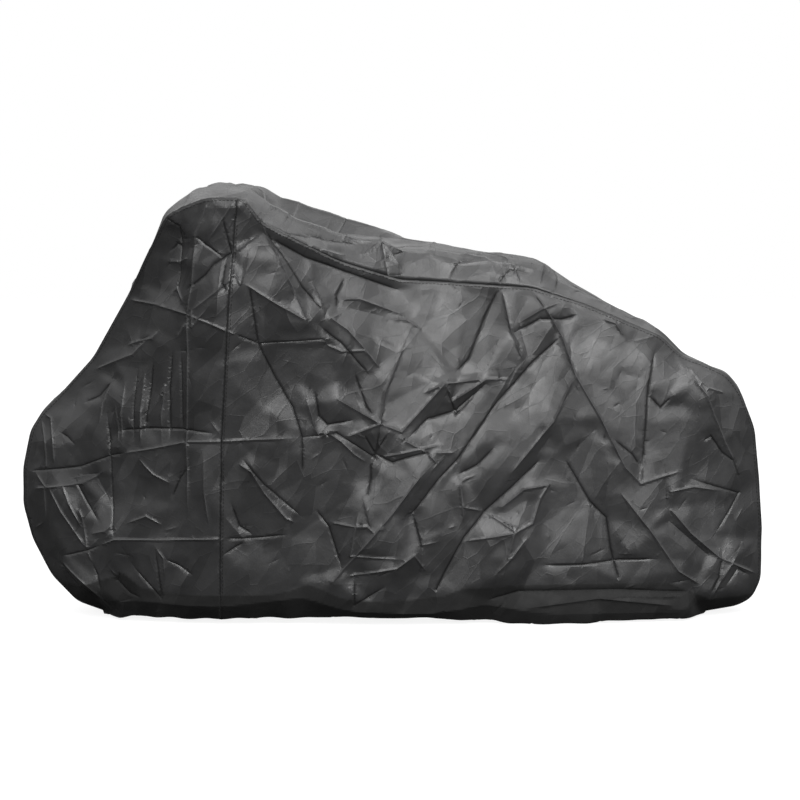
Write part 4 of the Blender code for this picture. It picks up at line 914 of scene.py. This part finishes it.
def side_surface(x, cut_z, side, line, relief):
    """Outer surface of a side panel with its folds, raised along the smooth form's normal."""
    points = side_base(x, cut_z, side, line)
    along = side_base(x + PROBE, cut_z, side, line) - points
    upwards = side_base(x, cut_z + PROBE, side, line) - points
    normals = -side * np.cross(along, upwards)
    normals /= np.maximum(np.linalg.norm(normals, axis=1), TINY)[:, None]
    near_hem = np.clip((hem_value(x, "lip") - cut_z) / GATHER_PITCH, 0.0, 1.0)
    wave = np.sin(2 * math.pi * x / GATHER_PITCH + GATHER_DRIFT * np.sin(x / GATHER_PITCH + side))
    distance, _ = nearest_on_seam(x, np.maximum(cut_z, 0.0), line)
    relief = (relief + near_hem * GATHER_RISE * wave) * np.clip(distance / SEAM_FADE, 0.0, 1.0)
    return points + normals * relief[:, None]


def gusset_surface(run, across, line, relief):
    """Outer surface of the gusset strip at points along and across it."""
    at = {name: np.interp(run, line["run"], values) for name, values in line.items()}
    share = np.clip(across / at["half_width"], -1.0, 1.0)
    middle = at["crown"] * (1.0 - np.abs(share) ** CROWN_FLATNESS)
    beside = np.clip((np.abs(share) - RIB_START) / (1.0 - RIB_START), 0.0, 1.0)
    ridge = at["rib"] * np.minimum(beside / RIB_CREST, (1.0 - beside) / (1.0 - RIB_CREST))
    from_seam = np.clip((at["half_width"] - np.abs(across)) / SEAM_FADE, 0.0, 1.0)
    rise = middle + ridge + relief * from_seam
    return np.stack((
        at["x"] + at["out_x"] * rise,
        across,
        at["z"] + at["tilt"] * (share + 1.0) / 2 + at["out_z"] * rise,
    ), axis=1)


def inside_outline(points, outline):
    """Which points lie inside a closed outline."""
    inside = np.zeros(len(points), dtype=bool)
    for (ax, ay), (bx, by) in zip(outline, np.roll(outline, -1, axis=0)):
        crosses = (ay > points[:, 1]) != (by > points[:, 1])
        reach = ax + (points[:, 1] - ay) * (bx - ax) / (by - ay if by != ay else TINY)
        inside ^= crosses & (points[:, 0] < reach)
    return inside


def clear_of(points, others, distance):
    """Which points keep the given distance from all the others."""
    tree = kdtree.KDTree(len(others))
    for index, other in enumerate(others):
        tree.insert((other[0], other[1], 0.0), index)
    tree.balance()
    return np.array([tree.find((point[0], point[1], 0.0))[2] > distance for point in points], dtype=bool)


def cut_sheet(outline, lines, spacing):
    """Triangles of a flat sheet: its outline, its creases, and an even filling between them."""
    points, edges = [*outline], [(i, (i + 1) % len(outline)) for i in range(len(outline))]
    crests = np.concatenate(lines)
    good = inside_outline(crests, outline) & clear_of(crests, outline, CREST_CLEARANCE * spacing)
    numbers = np.where(good, len(points) + np.cumsum(good) - 1, -1)
    points += [*crests[good]]
    start = 0
    for line in lines:
        chain = numbers[start:start + len(line)]
        edges += [(int(a), int(b)) for a, b in zip(chain, chain[1:]) if a >= 0 and b >= 0]
        start += len(line)
    placed = np.array(points)
    low, high = outline.min(axis=0), outline.max(axis=0)
    row_height = spacing * math.sqrt(3) / 2
    filling = [(low[0] + (column + 0.5 * (row % 2)) * spacing, low[1] + row * row_height)
               for row in range(int((high[1] - low[1]) / row_height) + 2)
               for column in range(int((high[0] - low[0]) / spacing) + 2)]
    filling = np.array(filling)
    filling = filling[inside_outline(filling, outline)]
    filling = filling[clear_of(filling, placed, FILL_CLEARANCE * spacing)]
    points += [*filling]
    # Four points far outside keep the whole outline inside the triangles, which are cut back to it below.
    wide, tall = high - low
    points += [low - (wide, tall), low + (2 * wide, -tall), high + (wide, tall), high - (2 * wide, -tall)]
    places = [Vector(point) for point in points]
    corners, _, faces, origins, _, _ = delaunay_2d_cdt(places, edges, [], 0, MERGE, True)
    flat = np.array([corner[:] for corner in corners])
    middles = flat[np.array(faces)].mean(axis=1)
    faces = [face for face, inside in zip(faces, inside_outline(middles, outline)) if inside]
    used = sorted({corner for face in faces for corner in face})
    renumbered = {old: new for new, old in enumerate(used)}
    faces = [tuple(renumbered[corner] for corner in face) for face in faces]
    rim = [None] * len(outline)
    for index, sources in enumerate(origins):
        for source in sources:
            if source < len(outline):
                rim[source] = renumbered[index]
    return flat[used], faces, rim


def panel_outlines(line):
    """Closed outlines of the front and the rear panel in the cutting plane, sharing the stitched seam."""
    seam = np.stack((line["x"], line["z"]), axis=1)
    rows = table(SIDE_SEAM, SIDE_SEAM_COLUMNS)
    top = int(np.argmin(np.linalg.norm(seam - (rows["x"][-1], rows["z"][-1]), axis=1)))
    foot_x = rows["x"][0]
    foot_z = hem_line(np.array([foot_x]), line)[0]
    count = round((seam[top, 1] - foot_z) / SEAM_STEP)
    heights = np.linspace(seam[top, 1], foot_z, count + 1)[1:]
    stitched = np.stack((np.interp(heights, rows["z"], rows["x"]), heights), axis=1)

    def hem(start, end):
        steps = max(2, round(abs(end - start) / SEAM_STEP))
        x = np.linspace(start, end, steps + 1)[1:-1]
        return np.stack((x, hem_line(x, line)), axis=1)

    foot = stitched[-1, 0]
    front = np.concatenate((seam[:top + 1], stitched, hem(foot, seam[0, 0])))
    rear = np.concatenate((seam[top:], hem(seam[-1, 0], foot), stitched[::-1]))
    return front, rear


def gusset_outline(line):
    """Closed outline of the gusset strip: along the near seam, and back along the far one."""
    near = np.stack((line["run"], -line["half_width"]), axis=1)
    far = np.stack((line["run"], line["half_width"]), axis=1)[::-1]

    def end(first, last):
        return np.linspace(first, last, END_STEPS + 1)[1:-1]

    return np.concatenate((near, end(near[-1], far[0]), far, end(far[-1], near[0])))


def folds_of(chains, fine_chains, outlines, seed):
    """The folds of sheets that share their creases: two nets of facets, the creases, and the stray ones."""
    ties = tie_places(outlines)
    small = [[(x, z, FINE_GAIN * rise) for x, z, rise in chain] for chain in fine_chains]
    nets = [crease_net(chains, outlines, ties, LOOSE_PITCH, LOOSE_RISE, seed),
            crease_net(small, outlines, ties, FINE_PITCH, FINE_RISE, seed)]
    return nets, [*chains, *small], stray_creases(outlines, seed)


def build_sheet(outline, folds, lines, spacing, surface, mirrored=False):
    """A sheet of the cover: its points, its faces, and each point's depth in a groove or height on a ridge.

    The surface function bends the flat cut.
    """
    nets, chains, strays = folds
    creases = [*chains, *strays]
    flat, faces, rim = cut_sheet(outline, crease_lines(creases, FOLD_STEP) + lines, spacing)
    across, up = flat.T
    _, held = pinches(across, up, chains)
    edge, _ = pinches(across, up, creases)
    held[rim] = True
    relief = rounded(sum(net_relief(across, up, *net) for net in nets), faces, held) + edge
    if mirrored:
        faces = [tuple(reversed(face)) for face in faces]
    # The crease value gives the material its bump along creases, painted shade in grooves and painted
    # highlights on ridges; every seam and hem edge takes a groove's value.
    crease = np.clip(edge / PINCH_RISE, -1.0, 1.0)
    crease[rim] = SEAM_SHADE_DEPTH
    return {"points": surface(across, up, relief), "faces": faces, "crease": crease}


def add_object(name, data):
    """An object in the scene."""
    made = bpy.data.objects.new(name, data)
    bpy.context.scene.collection.objects.link(made)
    return made


def sheet_object(name, sheet, node, material):
    """A thin closed sheet of cloth that stands for a node of the frame."""
    mesh = bpy.data.meshes.new(name)
    mesh.from_pydata(sheet["points"].tolist(), [], sheet["faces"])
    mesh.shade_smooth()
    mesh.set_sharp_from_angle(angle=math.radians(CREASE_ANGLE))
    mesh.materials.append(material)
    # Below the hem band's upper edge the material darkens the colour as painted shade and dulls the gloss.
    band = table(HEM_BAND, HEM_BAND_COLUMNS)
    x, _, z = sheet["points"].T
    below = (np.interp(x, band["x"], band["z"]) - z) / HEM_BAND_EDGE
    for attribute, values in (("hem_band", np.clip(below, 0.0, 1.0)), ("crease", sheet["crease"])):
        mesh.attributes.new(attribute, "FLOAT", "POINT").data.foreach_set("value", values)
    piece = add_object(name, mesh)
    shell = piece.modifiers.new("thickness", "SOLIDIFY")
    shell.thickness = THICKNESS
    shell.offset = -1.0
    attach(piece, "root")
    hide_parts(node)
    return piece


# --- Finish -------------------------------------------------------------------------------------------------
def fill(tree, made, values):
    """Sets inputs of a node, or links them where the value is another node's output."""
    for key, value in values.items():
        if isinstance(value, bpy.types.NodeSocket):
            tree.links.new(value, made.inputs[key])
        else:
            made.inputs[key].default_value = value


def adder(tree):
    """A function that adds a node to a tree and returns one of its outputs."""
    def add(kind, values, output=0, **settings):
        made = tree.nodes.new("ShaderNode" + kind)
        for key, value in settings.items():
            setattr(made, key, value)
        fill(tree, made, values)
        return made.outputs[output]

    return add


def empty_tree(owner):
    """The node tree of a material or a world, with nothing in it."""
    owner.use_nodes = True
    owner.node_tree.nodes.clear()
    return owner.node_tree


def end_tree(tree, kind, seen, otherwise):
    """Ends a tree in one shader for the camera's rays and another for all the rest."""
    add = adder(tree)
    mixed = add("MixShader", {"Fac": add("LightPath", {}, "Is Camera Ray"), 1: otherwise, 2: seen})
    fill(tree, tree.nodes.new(kind), {"Surface": mixed})


def nylon_material(name, colour, seed):
    """Charcoal nylon taffeta with a satin coating: packing creases, weave, uneven gloss, a duller hem band,
    painted shade in the hem band, the grooves and the seams, and painted highlights on the ridges.
    """
    material = bpy.data.materials.new(name)
    material.use_nodes = True
    tree = material.node_tree
    add = adder(tree)

    def vector(operation, first, second):
        return add("VectorMath", {0: first, 1: second}, operation=operation)

    def number(operation, first, second):
        return add("Math", {0: first, 1: second}, operation=operation)

    def scaled(first, factor):
        return add("VectorMath", {0: first, "Scale": factor}, operation="SCALE")

    def noise(scale, detail, at, output="Fac"):
        values = {"Scale": scale, "Detail": detail, "Roughness": NOISE_GRAIN, "Vector": at}
        return add("TexNoise", values, output)

    def ramp(value, limits, results):
        keys = ("Value", "From Min", "From Max", "To Min", "To Max")
        return add("MapRange", dict(zip(keys, (value, *limits, *results))))

    def bump(height, distance, below):
        return add("Bump", {"Height": height, "Distance": distance, "Normal": below})

    place = vector("ADD", add("TexCoord", {}, "Object"), (seed, 0.0, 0.0))
    band = add("Attribute", {}, "Fac", attribute_name="hem_band")
    crease = add("Attribute", {}, "Fac", attribute_name="crease")
    # Painted shade in grooves and seams, painted highlights on ridges and painted shade in the hem band, all
    # multiplied into the colour.
    groove_shade = ramp(crease, (-1.0, -CRACK_START), (GROOVE_PAINTED_SHADE, 1.0))
    ridge_highlight = ramp(crease, (CRACK_START, 1.0), (1.0, RIDGE_PAINTED_HIGHLIGHT))
    shade = ramp(band, (0.0, 1.0), (1.0, HEM_BAND_PAINTED_SHADE))
    shade = number("MULTIPLY", shade, number("MULTIPLY", groove_shade, ridge_highlight))
    tint = ramp(noise(TINT_SCALE, TINT_DETAIL, place), NOISE_LIMITS, TINT_LIMITS)
    gloss = ramp(noise(GLOSS_SCALE, GLOSS_DETAIL, place), NOISE_LIMITS, GLOSS_LIMITS)
    dull = ramp(band, (0.0, 1.0), (ROUGHNESS, HEM_BAND_ROUGHNESS))

    # Flat patches of cloth that lean a little, with a thin crease between them.
    drift = noise(DRIFT_SCALE, SOFT_DETAIL, place, "Color")
    wander = vector("ADD", place, scaled(vector("SUBTRACT", drift, (0.5, 0.5, 0.5)), DRIFT_REACH))
    turned = add("VectorRotate", {"Vector": wander, "Angle": PATCH_SLANT}, rotation_type="Y_AXIS")
    cells = {"Vector": vector("MULTIPLY", turned, (1.0 / PATCH_STRETCH, 1.0, 1.0))}
    busy = ramp(noise(BUSY_SCALE, SOFT_DETAIL, place), BUSY_LIMITS, (CALM, 1.0))
    normal = add("NewGeometry", {}, "Normal")
    for length, lean in PATCHES:
        cell = add("TexVoronoi", {"Scale": 1.0 / length, **cells}, "Color")
        tilt = vector("SUBTRACT", cell, (0.5, 0.5, 0.5))
        normal = vector("ADD", normal, scaled(tilt, number("MULTIPLY", busy, 2.0 * lean)))
    normal = vector("NORMALIZE", normal, (0.0, 0.0, 0.0))
    for length, _ in PATCHES:
        edge = add("TexVoronoi", {"Scale": 1.0 / length, **cells}, "Distance", feature="DISTANCE_TO_EDGE")
        packed = ramp(edge, (0.0, PACKING_LINE), (1.0, 0.0))
        normal = bump(number("MULTIPLY", packed, busy), PACKING_RISE, normal)
    depth = number("MULTIPLY", crease, number("ABSOLUTE", crease, 0.0))
    normal = bump(depth, CRACK_RISE, normal)
    normal = bump(noise(WRINKLE_SCALE, WRINKLE_DETAIL, wander), WRINKLE_RISE, normal)
    threads = add("TexWave", {"Scale": WEAVE_SCALE, "Distortion": WEAVE_DRIFT, "Vector": place}, "Fac")
    fill(tree, tree.nodes["Principled BSDF"], {
        "Base Color": scaled(colour, number("MULTIPLY", tint, shade)),
        "Roughness": number("ADD", gloss, dull),
        "Normal": bump(threads, WEAVE_RISE, normal),
        "Specular IOR Level": SPECULAR,
        "Sheen Weight": SHEEN,
        "Sheen Roughness": SHEEN_ROUGHNESS,
    })
    return material


def thread_material():
    """Black sewing thread with its twist, and a painted highlight on the crown of each twist."""
    material = bpy.data.materials.new("seam_thread")
    material.use_nodes = True
    tree = material.node_tree
    add = adder(tree)
    twist = add("TexWave", {"Scale": TWIST_SCALE}, "Fac")
    pale = (*(THREAD_PAINTED_HIGHLIGHT * part for part in THREAD_COLOUR), 1.0)
    fill(tree, tree.nodes["Principled BSDF"], {
        "Base Color": add("Mix", {"Factor": twist, "A": (*THREAD_COLOUR, 1.0), "B": pale}, "Result",
                          data_type="RGBA"),
        "Normal": add("Bump", {"Height": twist, "Distance": TWIST_RISE}),
        "Roughness": THREAD_ROUGHNESS,
    })
    return material


def floor_paint():
    """The floor's finish: pale and partly self-lit for the camera, dark felt for the cover."""
    paint = bpy.data.materials.new("floor_paint")
    tree = empty_tree(paint)
    add = adder(tree)
    lit = add("BsdfDiffuse", {"Color": FLOOR_COLOUR})
    glow = add("Emission", {"Strength": FLOOR_PALENESS})
    seen = add("MixShader", {"Fac": FLOOR_GLOW, 1: lit, 2: glow})
    end_tree(tree, "ShaderNodeOutputMaterial", seen, add("BsdfDiffuse", {"Color": FELT_COLOUR}))
    return paint


# --- Studio -------------------------------------------------------------------------------------------------
def studio():
    """Camera level with the middle of the cover and a little above it, pale floor and soft lights."""
    scene = bpy.context.scene
    scene.view_settings.view_transform = "Standard"
    lens = bpy.data.cameras.new("camera")
    lens.lens = CAMERA_LENS
    lens.sensor_width = CAMERA_SENSOR
    camera = add_object("camera", lens)
    elevation = math.radians(CAMERA_ELEVATION)
    away = Vector((0.0, -math.cos(elevation), math.sin(elevation)))
    camera.location = Vector(CAMERA_TARGET) + CAMERA_DISTANCE * away
    camera.rotation_euler = (math.pi / 2 - elevation, 0.0, 0.0)
    scene.camera = camera

    half = FLOOR_SIDE / 2
    corners = [(-half, -half, 0), (half, -half, 0), (half, half, 0), (-half, half, 0)]
    ground = bpy.data.meshes.new("floor")
    ground.from_pydata(corners, [], [(0, 1, 2, 3)])
    ground.materials.append(floor_paint())
    floor = add_object("floor", ground)
    floor.location.z = FLOOR_DROP

    for name, place, aim, size, power in LIGHTS:
        light = bpy.data.lights.new(name, "AREA")
        light.shape = "RECTANGLE"
        light.size, light.size_y = size
        light.energy = power
        lamp = add_object(name, light)
        lamp.location = place
        lamp.rotation_euler = (Vector(aim) - Vector(place)).to_track_quat("-Z", "Y").to_euler()

    scene.world = bpy.data.worlds.new("studio")
    tree = empty_tree(scene.world)
    add = adder(tree)
    low, high = HORIZON_SOFTNESS
    climb = add("MapRange", {
        "Value": add("SeparateXYZ", {"Vector": add("TexCoord", {}, "Generated")}, "Z"),
        "From Min": low, "From Max": high, "To Min": LOW_LIGHT, "To Max": TOP_LIGHT,
    }, interpolation_type="SMOOTHSTEP")
    lit = add("Background", {"Color": WHITE, "Strength": climb})
    end_tree(tree, "ShaderNodeOutputWorld", add("Background", {"Color": WHITE}), lit)


# --- Pieces -------------------------------------------------------------------------------------------------
def nearest_on(trees, place):
    """The point of the sheets closest to a place, and the sheet's normal there."""
    location, normal, _, _ = min((tree.find_nearest(place) for tree in trees), key=lambda found: found[3])
    return location, normal


def stitch_row(path, trees, points, faces):
    """Adds short threads at even steps along a path, each lying on the nearest sheet."""
    length, width, rise = STITCH_SIZE
    run = run_along(path)
    for middle in np.arange(STITCH_ENDS, run[-1] - STITCH_ENDS, STITCH_PITCH):
        ends = [Vector([np.interp(middle + share * length, run, column) for column in path.T])
                for share in (-0.5, 0.5)]
        (start, normal), (end, _) = (nearest_on(trees, place) for place in ends)
        across = normal.cross(end - start).normalized() * width / 2
        first = len(points)
        for place in (start, end):
            for lift, spread in ((-rise, 1.0), (rise, STITCH_TOP), (rise, -STITCH_TOP), (-rise, -1.0)):
                points.append(tuple(place + normal * lift + across * spread))
        for face in ((0, 1, 5, 4), (1, 2, 6, 5), (2, 3, 7, 6), (3, 0, 4, 7), (0, 3, 2, 1), (4, 5, 6, 7)):
            faces.append(tuple(first + corner for corner in face))


def seam_thread(name, side, sheets, line):
    """The threads of one side: a row behind the vertical seam, and one all along the gusset strip."""
    trees = [BVHTree.FromPolygons(sheet["points"].tolist(), sheet["faces"]) for sheet in sheets]
    rows = table(SIDE_SEAM, SIDE_SEAM_COLUMNS)
    heights = np.arange(0.0, rows["z"][-1], SEAM_STEP)
    upright = side_base(np.interp(heights, rows["z"], rows["x"]) + STITCH_INSET, heights, side, line)
    inset_x = line["x"] - STITCH_INSET * line["out_x"]
    inset_z = line["z"] - STITCH_INSET * line["out_z"]
    points, faces = [], []
    for path in (upright, side_base(inset_x, inset_z, side, line)):
        stitch_row(path, trees, points, faces)
    mesh = bpy.data.meshes.new(name)
    mesh.from_pydata(points, [], faces)
    mesh.materials.append(thread_material())
    piece = add_object(name, mesh)
    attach(piece, "root")
    return piece


def moved_creases(chains, outlines):
    """The small creases of the near side moved to other places, for the far side."""
    shift = np.array((*FAR_SHIFT, 0.0))
    moved = [[tuple(corner) for corner in np.array(chain) + shift] for chain in chains]
    return [chain for chain in moved
            if any(inside_outline(np.array(chain)[:, :2] * CM, outline).all() for outline in outlines)]


def side_cloths(line, side_name, side, chains, fine_chains, spacing, seed):
    """The front and the rear panel of one side, with the threads of their seams."""
    outlines = panel_outlines(line)
    folds = folds_of(chains, fine_chains, outlines, seed)

    def surface(x, z, relief):
        return side_surface(x, z, side, line, relief)

    pieces, sheets = [], []
    for part_name, outline in zip(FLAT_SIZES, outlines):
        sheet = build_sheet(outline, folds, [], spacing, surface, side > 0)
        name = f"{side_name}_{part_name}_cloth"
        material = nylon_material(name, COLOURS[part_name], seed)
        pieces.append(sheet_object(name, sheet, f"{side_name}_{part_name}_panel", material))
        sheets.append(sheet)
    thread = seam_thread(f"{side_name}_seam_thread", side, sheets, line)
    for piece, (width, length, area), on_it in zip(pieces, FLAT_SIZES.values(), ([], [thread])):
        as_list(on_it)


def gusset_cloth(line):
    """The long strip between the two sides."""
    outline = gusset_outline(line)
    lengthwise = [np.column_stack((line["run"], share * line["half_width"]))
                  for size in GUSSET_LINES for share in (-size, size)]

    def surface(run, across, relief):
        return gusset_surface(run, across, line, relief)

    folds = folds_of(GUSSET_CREASES, GUSSET_FINE_CREASES, [outline], SEED)
    sheet = build_sheet(outline, folds, lengthwise, GUSSET_MESH, surface)
    material = nylon_material("gusset_cloth", COLOURS["gusset"], SEED)
    piece = sheet_object("gusset_cloth", sheet, "gusset_strip", material)


def main():
    studio()
    line = seam_line()
    side_cloths(line, "near", -1, NEAR_CREASES, FINE_CREASES, NEAR_MESH, SEED)
    far_fine = moved_creases(FINE_CREASES, panel_outlines(line))
    side_cloths(line, "far", 1, FAR_CREASES, far_fine, FAR_MESH, SEED + 1)
    gusset_cloth(line)


main()
